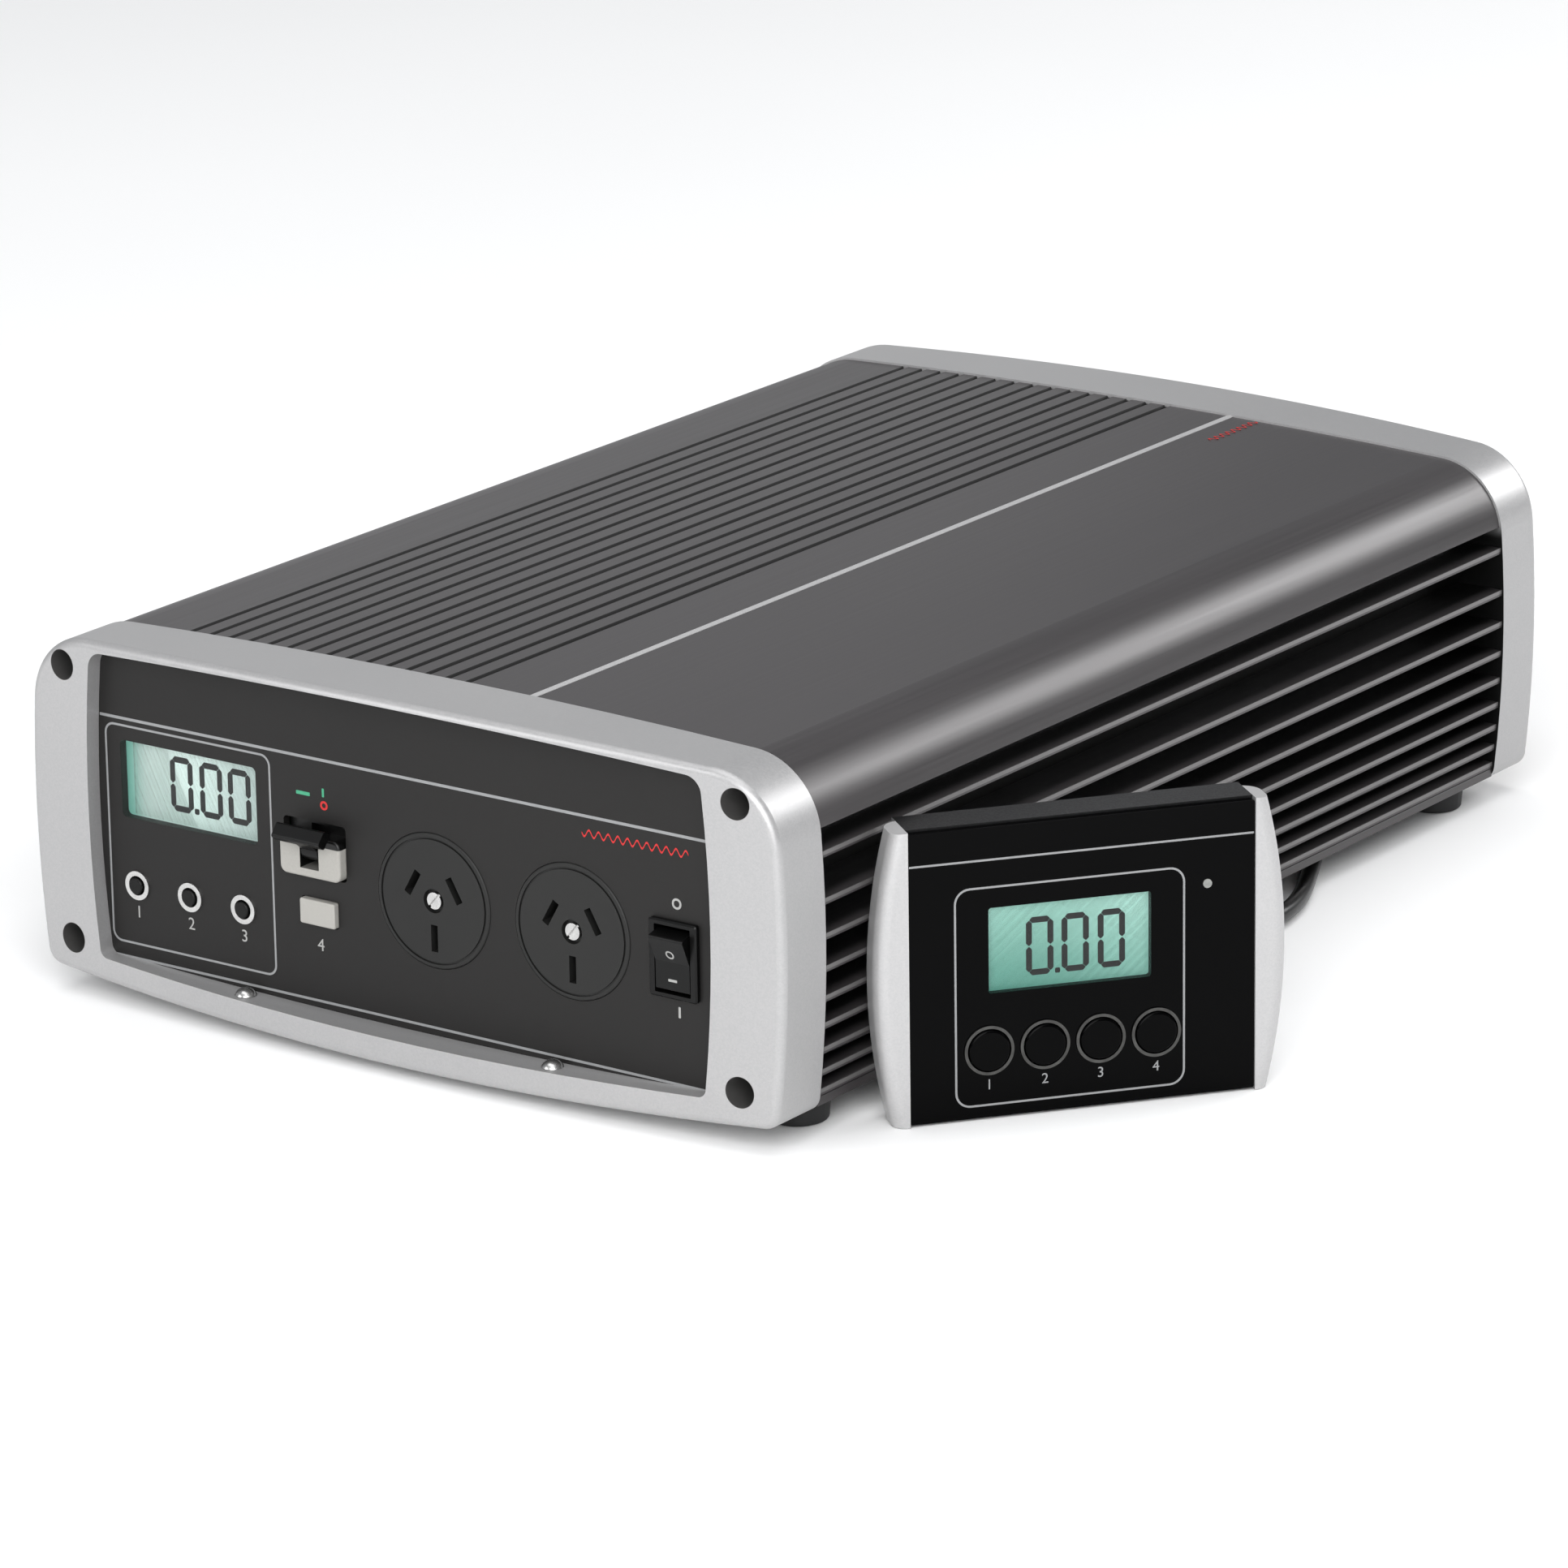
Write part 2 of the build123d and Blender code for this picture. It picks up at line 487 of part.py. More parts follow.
def make_rocker():
    """Two-faced rocker, its upper half standing out."""
    half = ROCKER_W / 2 - 1.9 - GAP
    side = Polyline((-2.6, 0), (-4.2, 7.8), (0.6, 8.0), (3.0, 1.6), (3.0, -1.6), (0.6, -8.0),
                    (-4.2, -7.8), close=True)
    rocker = along_x(make_face(side), ROCKER_X - half, ROCKER_X + half)
    rocker = fillet(rocker.edges().filter_by(Axis.X).sort_by(Axis.Y)[:2], 0.6)
    rocker += along_x(Circle(1.25), ROCKER_X - half - GAP - 0.6, ROCKER_X + half + GAP + 0.6)
    return Pos(0, ROCKER_Y, ROCKER_Z) * Rot(ROCKER_TILT, 0, 0) * rocker


# ---- rear panel and what it carries ------------------------------------------
def make_rear_panel():
    y0, y1 = REAR - PANEL_RECESS - PANEL_T, REAR - PANEL_RECESS
    panel = along_y(opening_outline(PANEL_LAP - SNUG), y0, y1)
    for x in FAN_X:
        panel -= disc_y(x, FAN_Z, FAN_BORE_R, y0 - 1, y1 + 1)
        for dx in (-FAN_HOLE, FAN_HOLE):
            for dz in (-FAN_HOLE, FAN_HOLE):
                panel -= disc_y(x + dx, FAN_Z + dz, 2.1, y0 - 1, y1 + 1)
    for x in TERMINAL_X:
        panel -= disc_y(x, TERMINAL_Z, 9.0 + SNUG, y0 - 1, y1 + 1)
    panel -= disc_y(EARTH_X, EARTH_Z, EARTH_SEAT_R, y0 - 1, y1 + 1)
    panel -= plate_y(PORT_X, PORT_Z, PLUG_W + 3 + 2 * SNUG, PLUG_H + 3 + 2 * SNUG, 0.5, y0 - 1, y1 + 1)
    return panel


FAN_Y1 = REAR - PANEL_RECESS - PANEL_T
FAN_Y0 = FAN_Y1 - FAN_D


def make_fan_frame(x):
    frame = plate_y(x, FAN_Z, FAN_SIZE, FAN_SIZE, 4, FAN_Y0, FAN_Y1)
    frame -= disc_y(x, FAN_Z, FAN_BORE_R, FAN_Y0 - 1, FAN_Y1 + 1)
    for dx in (-FAN_HOLE, FAN_HOLE):
        for dz in (-FAN_HOLE, FAN_HOLE):
            frame -= disc_y(x + dx, FAN_Z + dz, 2.1, FAN_Y0 - 1, FAN_Y1 + 1)
    for i in range(4):
        arm = Pos(x, 0, FAN_Z) * Rot(0, 45 + 90 * i, 0) * Pos(20, 0, 0)
        frame += arm * Pos(0, FAN_Y0 + 1.5, 0) * Box(19, 3, 3)
    frame += disc_y(x, FAN_Z, HUB_R - 1, FAN_Y0, FAN_Y0 + 3)
    return frame + disc_y(x, FAN_Z, 2.0, FAN_Y0, FAN_Y0 + 14)


def make_fan_rotor(x):
    rotor = disc_y(x, FAN_Z, HUB_R, FAN_Y0 + 3.6, FAN_Y0 + 18)
    rotor = fillet(rotor.faces().sort_by(Axis.Y)[-1].edges(), 1.5)
    for i in range(BLADES):
        blade = Pos((HUB_R + BLADE_R) / 2 - 0.5, 0, 0) * Rot(38, 0, 0) * Box(BLADE_R - HUB_R + 1, 15, 1.3)
        rotor += Pos(x, FAN_Y0 + 11, FAN_Z) * Rot(0, 360 / BLADES * i, 0) * blade
    return rotor - disc_y(x, FAN_Z, 2.05, FAN_Y0 + 3, FAN_Y0 + 14.5)


def make_fan_guard(x):
    """Wire guard over the outlet: rings on a cross, with four screw eyes."""
    y = REAR - PANEL_RECESS
    guard = None
    for r in (9, 15, 21, 27):
        ring = along_y(Pos(x, FAN_Z) * (Circle(r + 0.7) - Circle(r - 0.7)), y + 1.2, y + 2.6)
        guard = ring if guard is None else guard + ring
    for turn in (45, 135):
        guard += Pos(x, y + 0.7, FAN_Z) * Rot(0, turn, 0) * Box(2 * FAN_HOLE * 1.414 + 4, 1.4, 1.6)
    for dx in (-FAN_HOLE, FAN_HOLE):
        for dz in (-FAN_HOLE, FAN_HOLE):
            guard += disc_y(x + dx, FAN_Z + dz, 3.6, y, y + 1.4)
            guard -= disc_y(x + dx, FAN_Z + dz, 2.1, y - 1, y + 3)
    return guard


def make_fan_screws():
    screws = []
    y = REAR - PANEL_RECESS + 1.4
    for x in FAN_X:
        for dx in (-FAN_HOLE, FAN_HOLE):
            for dz in (-FAN_HOLE, FAN_HOLE):
                screw = disc_y(x + dx, FAN_Z + dz, 3.4, y, y + 2.0)
                screw = fillet(screw.faces().sort_by(Axis.Y)[-1].edges(), 1.0)
                screw += disc_y(x + dx, FAN_Z + dz, 2.0, y - 18, y)
                screw -= Pos(x + dx, y + 2.0, FAN_Z + dz) * Box(0.8, 1.6, 4.4)
                screw -= Pos(x + dx, y + 2.0, FAN_Z + dz) * Box(4.4, 1.6, 0.8)
                screws.append(screw)
    return screws


TERMINAL_FACE = REAR + 5.0


def make_terminal(x):
    """Insulated post base clamped through the rear panel."""
    inner = REAR - PANEL_RECESS - PANEL_T
    body = disc_y(x, TERMINAL_Z, 9.0, inner - 6, TERMINAL_FACE)
    body += disc_y(x, TERMINAL_Z, 11.5, REAR - PANEL_RECESS, TERMINAL_FACE)
    body = fillet(body.faces().sort_by(Axis.Y)[-1].edges(), 1.0)
    body += disc_y(x, TERMINAL_Z, 11.5, inner - 6, inner)
    return body - disc_y(x, TERMINAL_Z, STUD_NECK_R, inner - 20, TERMINAL_FACE + 5)


def make_dc_stud(x):
    inner = REAR - PANEL_RECESS - PANEL_T
    stud = disc_y(x, TERMINAL_Z, STUD_NECK_R, inner - 14, TERMINAL_FACE + 6.5)
    stud += disc_y(x, TERMINAL_Z, STUD_R, TERMINAL_FACE + 6.5, TERMINAL_FACE + 20)
    stud = chamfer(stud.faces().sort_by(Axis.Y)[-1].edges(), 0.8)
    return stud + disc_y(x, TERMINAL_Z, 7.0, inner - 14, inner - 9)


def make_dc_nut(x):
    hexagon = Pos(x, TERMINAL_Z) * (RegularPolygon(7.5, 6) - Circle(STUD_NECK_R))
    return along_y(hexagon, TERMINAL_FACE, TERMINAL_FACE + 6.5)


def make_earth_stud():
    inner = REAR - PANEL_RECESS - PANEL_T
    stud = disc_y(EARTH_X, EARTH_Z, 5.0, inner - 3, inner)
    stud += disc_y(EARTH_X, EARTH_Z, EARTH_SEAT_R, inner, REAR - PANEL_RECESS)
    stud += disc_y(EARTH_X, EARTH_Z, EARTH_R, REAR - PANEL_RECESS, REAR + 14)
    return chamfer(stud.faces().sort_by(Axis.Y)[-1].edges(), 0.6)


def make_remote_port():
    y1 = REAR - PANEL_RECESS
    body = plate_y(PORT_X, PORT_Z, PLUG_W + 3, PLUG_H + 3, 0.4, y1 - 18, y1 + 0.4)
    body += plate_y(PORT_X, PORT_Z, PLUG_W + 6, PLUG_H + 6, 0.4, y1 - 18, y1 - PANEL_T)
    return body - plate_y(PORT_X, PORT_Z, PLUG_W, PLUG_H, 0.2, y1 - 12, y1 + 2)


# ---- electronics -------------------------------------------------------------
def make_main_board():
    return block(-BOARD_HALF_X, BOARD_HALF_X, -BOARD_HALF_Y, BOARD_HALF_Y, BOARD_Z, BOARD_Z + BOARD_T)


def make_standoffs():
    return [disc_z(x, y, 3.2, BASE_TOP, BOARD_Z) for x in (-85, 85) for y in (-112, 0, 112)]


def make_transformers():
    """Three ferrite transformers: wound bobbin inside a squared core."""
    out = []
    z = BOARD_Z + BOARD_T
    for x in (-52, 4, 60):
        core = block(x - 24, x + 24, 10, 22, z, z + 44)
        core += block(x - 24, x + 24, 44, 56, z, z + 44)
        core += block(x - 24, x + 24, 10, 56, z + 34, z + 44)
        core += fillet(block(x - 20, x + 20, 22, 44, z, z + 34).edges().filter_by(Axis.Z), 6)
        out.append(core)
    return out


def make_capacitors():
    z = BOARD_Z + BOARD_T
    out = []
    for x in (-60, -32, -4, 24):
        can = disc_z(x, -50, 12, z, z + 46)
        out.append(fillet(can.edges().sort_by(Axis.Z)[-1], 1.5))
    for x in (-66, -44, -22, 0, 22, 44, 66):
        can = disc_z(x, 84, 8, z, z + 32)
        out.append(fillet(can.edges().sort_by(Axis.Z)[-1], 1.0))
    return out


def make_power_devices():
    """Transistors clamped flat on the inner side walls."""
    out = []
    for i in range(9):
        y = -96 + 24 * i
        body = block(CAVITY_HALF - 5, CAVITY_HALF, y - 8, y + 8, 34, 55)
        legs = [block(CAVITY_HALF - 3.2, CAVITY_HALF - 2.4, y + d - 0.6, y + d + 0.6, 20, 34) for d in (-5, 0, 5)]
        for leg in legs:
            body += leg
        out += both_sides(body)
    return out


def make_control_board():
    """Upright logic board with its chips, standing on the main board."""
    z = BOARD_Z + BOARD_T
    board = block(74, 75.6, -110, -20, z, z + 48)
    for y in (-96, -70, -44):
        board += block(71.5, 74, y - 7, y + 7, z + 14, z + 28)
    return board


def make_choke():
    z = BOARD_Z + BOARD_T
    choke = Pos(-40, -92, z + 9) * Torus(17, 9)
    return choke + disc_z(-40, -92, 17, z, z + 3)


def make_busbars():
    """Bars from the rear studs down to the main board."""
    out = []
    y = REAR - PANEL_RECESS - PANEL_T - 6
    for x in TERMINAL_X:
        bar = block(x - 9, x + 9, y - 3, y, 30, TERMINAL_Z + 9)
        bar += block(x - 9, x + 9, 108, y, 30, 33)
        bar += block(x - 9, x + 9, 108, 111, BOARD_Z + BOARD_T, 33)
        out.append(bar - disc_y(x, TERMINAL_Z, STUD_NECK_R, y - 5, y + 1))
    return out


def make_fuses():
    z = BOARD_Z + BOARD_T
    out = []
    for i in range(4):
        x = -86 + 10 * i
        out.append(block(x - 2.6, x + 2.6, 98, 117, z, z + 14))
    return out


# ---- remote panel (built facing -Y, then turned and placed) ---------------------
REMOTE = Pos(REMOTE_AT[0], REMOTE_AT[1], 0) * Rot(0, 0, REMOTE_TURN)


def cheek(side):
    x = side * (FACE_W / 2)
    end = side * (FACE_W / 2 + CHEEK_END)
    out = side * (FACE_W / 2 + CHEEK_OUT)
    line = Polyline((end, FACE_H + 0.4), (x, FACE_H + 0.8), (x, 0), (end, 0))
    arc = ThreePointArc((end, 0), (out, FACE_H / 2), (end, FACE_H + 0.4))
    body = along_y(make_face([*line.edges(), arc]), -0.6, CHEEK_D)
    rim = body.faces().sort_by(Axis.X)[-1 if side > 0 else 0].edges()
    return fillet([e for e in rim if abs(e.center().Z - FACE_H / 2) < 5], CHEEK_R)


def make_remote_case():
    """Shallow box with a rounded cheek on each side, open to the front."""
    body = block(-FACE_W / 2, FACE_W / 2, FACE_T, REMOTE_D, 0, FACE_H + 0.8)
    body -= block(-FACE_W / 2 + 2.2, FACE_W / 2 - 2.2, FACE_T - 1, REMOTE_D - 2, 2, FACE_H - 1.2)
    body += cheek(-1)
    body += cheek(1)
    for x in (-38, 38):
        for z in (8, FACE_H - 8):
            body += disc_y(x, z, 2.6, R_BOARD_Y + R_BOARD_T, REMOTE_D - 2)
    jack = plate_y(R_PORT_X, R_PORT_Z, PLUG_W + 2.4, PLUG_H + 2.4, 0.4, 4.0, REMOTE_D)
    body += jack
    return body - plate_y(R_PORT_X, R_PORT_Z, PLUG_W, PLUG_H, 0.2, 5.5, REMOTE_D + 1)


def make_remote_faceplate():
    plate = plate_y(0, FACE_H / 2 + 0.3, FACE_W - 2 * SNUG, FACE_H - 0.4, 0.6, 0, FACE_T)
    plate -= plate_y(R_METER_X, R_METER_Z, R_METER_W, R_METER_H, 0.8, -1, FACE_T + 1)
    for x in R_BUTTON_X:
        plate -= disc_y(x, R_BUTTON_Z, R_BUTTON_R + GAP, -1, FACE_T + 1)
    return plate - disc_y(R_LAMP_X, R_LAMP_Z, 1.3, -1, FACE_T + 1)


def make_remote_window():
    return plate_y(R_METER_X, R_METER_Z, R_METER_W - 2 * SNUG, R_METER_H - 2 * SNUG, 0.7, 0.1, FACE_T)


def make_remote_display():
    return plate_y(R_METER_X, R_METER_Z, R_METER_W + 4, R_METER_H + 4, 0.5, FACE_T, R_BOARD_Y)


def make_remote_board():
    board = block(-42, 42, R_BOARD_Y, R_BOARD_Y + R_BOARD_T, 4, FACE_H - 4)
    notch_w, notch_h = PLUG_W + 3.4, PLUG_H + 3.4
    return board - plate_y(R_PORT_X, R_PORT_Z, notch_w, notch_h, 0.4, R_BOARD_Y - 1, R_BOARD_Y + 3)


def make_remote_button(x):
    cap = disc_y(x, R_BUTTON_Z, R_BUTTON_R, -1.0, R_BOARD_Y - R_BUTTON_TRAVEL - 0.2)
    cap = fillet(cap.faces().sort_by(Axis.Y)[0].edges(), 0.7)
    return cap + disc_y(x, R_BUTTON_Z, R_BUTTON_R + 0.9, FACE_T + GAP, FACE_T + GAP + 0.9)


def make_remote_rings():
    ring = Circle(R_BUTTON_R + 1.1) - Circle(R_BUTTON_R + GAP)
    return [along_y(Pos(x, R_BUTTON_Z) * ring, -0.5, 0) for x in R_BUTTON_X]


def make_remote_lamp():
    return disc_y(R_LAMP_X, R_LAMP_Z, 1.2, -0.2, R_BOARD_Y)


def tapered_plug(tip, back, boot):
    """Modular plug along +Y: a square body, then a tapered boot."""
    plug = plate_y(0, 0, PLUG_W - 2 * SNUG, PLUG_H - 2 * SNUG, 0.2, tip, back)
    return plug + Pos(0, (back + boot) / 2, 0) * Rot(-90, 0, 0) * Cone(3.7, LEAD_R + 0.3, boot - back)


def make_lead_plugs():
    rear = Pos(PORT_X, 0, PORT_Z) * tapered_plug(REAR - PANEL_RECESS - 11, REAR + 10, LEAD_POINTS[-1][1])
    near = REMOTE * Pos(R_PORT_X, 0, R_PORT_Z) * tapered_plug(6.0, 20.0, 32.0)
    return [rear, near]


def make_lead():
    """Lead as straight runs with a tangent arc at each turn."""
    pts = [Vector(*p) for p in LEAD_POINTS]
    radii = []
    for a, b, c in zip(pts, pts[1:], pts[2:]):
        turn = (b - a).get_angle(c - b)
        reach = 0.45 * min((b - a).length, (c - b).length)
        radii.append(reach / math.tan(math.radians(turn) / 2))
    print("lead radii", [round(r, 1) for r in radii])
    path = FilletPolyline(*pts, radius=radii)
    print("lead length", round(path.length, 1))
    plane = Plane(origin=pts[0], z_dir=pts[1] - pts[0])
    lead = sweep(plane * Circle(LEAD_R), path=path)
    print("lead volume ratio", round(lead.volume / (math.pi * LEAD_R ** 2 * path.length), 4))
    return lead


save("upper_case", make_case())
save("base_plate", make_base_plate())
save("top_trim_strip", make_trim_strip())
front_bezel = make_front_bezel()
save("front_bezel", front_bezel)
save("rear_bezel", front_bezel.mirror(Plane.XZ))
save("bezel_screws", make_bezel_screws())
save("base_screws", make_base_screws())
save("rubber_feet", make_feet())
save("front_panel", make_front_panel())
save("ledge_screws", make_ledge_screws())
save("meter_window", make_meter_window())
save("meter_display", make_meter_display())
save("meter_board", make_meter_board())
for name, x in zip(("volts_button", "load_button", "eco_button"), BUTTON_X):
    save(name, make_button(x))
save("button_rings", make_button_rings())
save("breaker_body", make_breaker_body())
save("breaker_toggle", make_toggle())
save("test_button", make_test_button())
save("socket_left", make_socket(SOCKET_X[0]))
save("socket_right", make_socket(SOCKET_X[1]))
save("socket_screws", make_socket_screws())
save("socket_contacts", make_socket_contacts())
save("rocker_frame", make_rocker_frame())
save("power_rocker", make_rocker())
save("rear_panel", make_rear_panel())
save("fan_frames", [make_fan_frame(x) for x in FAN_X])
save("fan_rotor_left", make_fan_rotor(FAN_X[0]))
save("fan_rotor_right", make_fan_rotor(FAN_X[1]))
save("fan_guards", [make_fan_guard(x) for x in FAN_X])
save("fan_screws", make_fan_screws())
save("terminal_positive", make_terminal(TERMINAL_X[1]))
save("terminal_negative", make_terminal(TERMINAL_X[0]))
save("dc_studs", [make_dc_stud(x) for x in TERMINAL_X])
save("dc_nuts", [make_dc_nut(x) for x in TERMINAL_X])
save("earth_stud", make_earth_stud())
save("remote_port", make_remote_port())
save("main_board", make_main_board())
save("board_standoffs", make_standoffs())
save("transformers", make_transformers())
save("capacitors", make_capacitors())
save("power_devices", make_power_devices())
save("control_board", make_control_board())
save("output_choke", make_choke())
save("dc_busbars", make_busbars())
save("fuses", make_fuses())
save("remote_case", REMOTE * make_remote_case())
save("remote_faceplate", REMOTE * make_remote_faceplate())
save("remote_window", REMOTE * make_remote_window())
save("remote_display", REMOTE * make_remote_display())
save("remote_board", REMOTE * make_remote_board())
for i, x in enumerate(R_BUTTON_X):
    save(f"remote_button_{i + 1}", REMOTE * make_remote_button(x))
save("remote_button_rings", [REMOTE * ring for ring in make_remote_rings()])
save("remote_lamp", REMOTE * make_remote_lamp())
save("lead_plugs", make_lead_plugs())
save("remote_lead", make_lead())
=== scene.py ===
import math

import bpy
from mathutils import Matrix, Vector


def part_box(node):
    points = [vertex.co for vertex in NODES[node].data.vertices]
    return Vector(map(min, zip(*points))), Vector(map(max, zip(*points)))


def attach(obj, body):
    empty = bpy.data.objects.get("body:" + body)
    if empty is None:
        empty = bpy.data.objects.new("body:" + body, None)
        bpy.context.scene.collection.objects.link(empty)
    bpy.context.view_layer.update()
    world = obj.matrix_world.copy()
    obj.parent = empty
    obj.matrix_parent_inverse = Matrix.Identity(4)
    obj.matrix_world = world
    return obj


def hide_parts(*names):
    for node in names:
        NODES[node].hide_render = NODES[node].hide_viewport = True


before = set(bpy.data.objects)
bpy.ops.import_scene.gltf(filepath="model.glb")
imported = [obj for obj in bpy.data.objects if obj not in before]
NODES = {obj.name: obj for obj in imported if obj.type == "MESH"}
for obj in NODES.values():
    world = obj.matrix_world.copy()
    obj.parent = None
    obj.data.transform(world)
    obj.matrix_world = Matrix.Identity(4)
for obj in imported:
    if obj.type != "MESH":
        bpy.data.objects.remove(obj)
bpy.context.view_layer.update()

HOUSING = "housing"
MM = 0.001

# Faces that prints lie on: local x to the right, local y up, local z out of the face.
PANEL_FACE_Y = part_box("front_panel")[0].y
REAR_FACE_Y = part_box("rear_panel")[1].y
REMOTE_AT = (165.8 * MM, -111.3 * MM)
REMOTE_TURN = math.radians(51.85)
UPRIGHT = Matrix.Rotation(math.pi / 2, 4, "X")
FRONT_FACE = Matrix.Translation((0, PANEL_FACE_Y, 0)) @ UPRIGHT
REAR_FACE = Matrix.Translation((0, REAR_FACE_Y, 0)) @ Matrix.Rotation(math.pi, 4, "Z") @ UPRIGHT
REMOTE_FRAME = Matrix.Translation((*REMOTE_AT, 0)) @ Matrix.Rotation(REMOTE_TURN, 4, "Z")
REMOTE_FACE = REMOTE_FRAME @ UPRIGHT
INK = 0.05 * MM  # thickness of a printed line
SEGMENT = 0.06 * MM  # thickness of a meter's segment

# Sizes of the case that its finishes follow, in millimetres.
FIN_HEIGHTS = [76.7]
for gap in (12.4, 9.4, 8.75, 8.1, 7.45, 6.8, 6.15, 5.5):
    FIN_HEIGHTS.append(FIN_HEIGHTS[-1] - gap)
GROOVE_PITCH, GROOVE_FIRST, GROOVE_LAST = 6.69, -83.9, 9.76
MIDDLE_Z = 55.0
BORE_ACROSS, BORE_UPWARD, BORE_RADIUS = 111.6, 38.6, 4.2
FRAME_INNER_END = 167.6
BREAKER_X = -29.3


# ---- camera -------------------------------------------------------------------
CAMERA_AT = (1.22756, -1.69886, 0.69565)
CAMERA_RIGHT = (0.810954, 0.584937, -0.014241)
CAMERA_UP = (-0.166151, 0.253551, 0.952946)
CAMERA_BACK = (0.561024, -0.770429, 0.302806)

lens = bpy.data.cameras.new("studio_camera")
lens.lens = 179.85
lens.sensor_width = 36.0
lens.clip_start, lens.clip_end = 0.1, 60.0
camera = bpy.data.objects.new("studio_camera", lens)
turn = Matrix((CAMERA_RIGHT, CAMERA_UP, CAMERA_BACK)).transposed()
camera.matrix_world = Matrix.Translation(CAMERA_AT) @ turn.to_4x4()
bpy.context.scene.collection.objects.link(camera)
bpy.context.scene.camera = camera
bpy.context.scene.view_settings.view_transform = "Standard"


# ---- lead from the remote to the rear port ---------------------------------------
LEAD_R = 2.5 * MM
LEAD_POINTS = [
    (0.16155, -0.0647, 0.032),
    (0.1443, -0.05115, 0.031),
    (0.134, -0.016, 0.018),
    (0.131, 0.020, 0.005),
    (0.1295, 0.050, 0.0026),
    (0.113, 0.084, 0.0026),
    (0.097, 0.114, 0.0026),
    (0.094, 0.150, 0.0026),
    (0.0915, 0.204, 0.0026),
    (0.0535, 0.246, 0.0026),
    (0.0405, 0.257, 0.0315),
    (0.038, 0.2406, 0.0606),
    (0.038, 0.208, 0.0606),
]

route = bpy.data.curves.new("remote_cable", "CURVE")
route.dimensions = "3D"
route.bevel_depth = 1.0  # times each point's radius, which is the cable's own
route.bevel_resolution = 6
route.resolution_u = 12
line = route.splines.new("NURBS")
line.points.add(len(LEAD_POINTS) - 1)
for point, place in zip(line.points, LEAD_POINTS):
    point.co = (*place, 1.0)
    point.radius = LEAD_R
line.order_u = 3
line.use_endpoint_u = True
remote_cable = bpy.data.objects.new("remote_cable", route)
bpy.context.scene.collection.objects.link(remote_cable)
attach(remote_cable, HOUSING)
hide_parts("remote_lead")


# ---- finishes -----------------------------------------------------------------
def tone(red, green, blue):
    """Screen values from 0 to 255 as a linear colour."""
    linear = [(v / 255) ** 2.2 for v in (red, green, blue)]
    return (*linear, 1.0)


class Wire:
    """A socket of a finish, with arithmetic that adds Math nodes."""

    def __init__(self, finish, socket):
        self.finish = finish
        self.socket = socket

    def math(self, operation, *values):
        sockets = dict(enumerate(values))
        return self.finish.node("ShaderNodeMath", {"operation": operation}, sockets)

    def __add__(self, other):
        return self.math("ADD", self, other)

    def __radd__(self, other):
        return self.math("ADD", other, self)

    def __sub__(self, other):
        return self.math("SUBTRACT", self, other)

    def __rsub__(self, other):
        return self.math("SUBTRACT", other, self)

    def __mul__(self, other):
        return self.math("MULTIPLY", self, other)

    def __pow__(self, other):
        return self.math("POWER", self, other)

    def __abs__(self):
        return self.math("ABSOLUTE", self)

    def __mod__(self, other):
        return self.math("FLOORED_MODULO", self, other)

    def between(self, low, high):
        """0 below low, 1 above high, smooth in between."""
        settings = {"interpolation_type": "SMOOTHSTEP"}
        return self.finish.node("ShaderNodeMapRange", settings, {0: self, 1: low, 2: high})


class Finish:
    """A Principled material and the nodes that vary it over the surface."""

    def __init__(self, name, **constants):
        self.material = bpy.data.materials.new(name)
        self.material.use_nodes = True
        self.tree = self.material.node_tree
        self.tree.nodes.clear()
        self.shader = self.tree.nodes.new("ShaderNodeBsdfPrincipled")
        output = self.tree.nodes.new("ShaderNodeOutputMaterial")
        self.tree.links.new(self.shader.outputs[0], output.inputs[0])
        for socket, value in constants.items():
            self.shader.inputs[socket.replace("_", " ")].default_value = value

    def node(self, kind, settings=(), sockets=(), out=0):
        """Adds a node; a socket's value may be a Wire, and out picks what comes back."""
        made = self.tree.nodes.new(kind)
        for key, value in dict(settings).items():
            setattr(made, key, value)
        for key, value in dict(sockets).items():
            if isinstance(value, Wire):
                self.tree.links.new(value.socket, made.inputs[key])
            else:
                made.inputs[key].default_value = value
        return Wire(self, made.outputs[out])

    def where(self, stretch=(1, 1, 1), turn=0.0, shift=(0, 0, 0)):
        """Object coordinates, moved, turned about the upright axis and stretched."""
        place = self.node("ShaderNodeTexCoord", out="Object")
        sockets = {"Vector": place, "Location": shift, "Rotation": (0, 0, turn), "Scale": stretch}
        return self.node("ShaderNodeMapping", {"vector_type": "POINT"}, sockets)

    def along(self, axis, place=None):
        """One coordinate of a place."""
        place = place or self.where()
        return self.node("ShaderNodeSeparateXYZ", sockets={0: place}, out=axis)

    def noise(self, scale, detail=3.0, stretch=(1, 1, 1)):
        sockets = {"Vector": self.where(stretch), "Scale": scale, "Detail": detail}
        return self.node("ShaderNodeTexNoise", sockets=sockets)

    def cells(self, scale, stretch=(1, 1, 1), out="Distance"):
        sockets = {"Vector": self.where(stretch), "Scale": scale}
        return self.node("ShaderNodeTexVoronoi", sockets=sockets, out=out)

    def blend(self, share, first, second):
        sockets = {0: share, 6: first, 7: second}
        return self.node("ShaderNodeMix", {"data_type": "RGBA"}, sockets, out=2)

    def relief(self, height, depth, strength=1.0):
        """Bumps the surface by a height from 0 to 1 times the depth."""
        sockets = {"Height": height, "Distance": depth, "Strength": strength}
        return self.feed("Normal", self.node("ShaderNodeBump", sockets=sockets))

    def feed(self, socket, wire):
        self.tree.links.new(wire.socket, self.shader.inputs[socket])
        return self


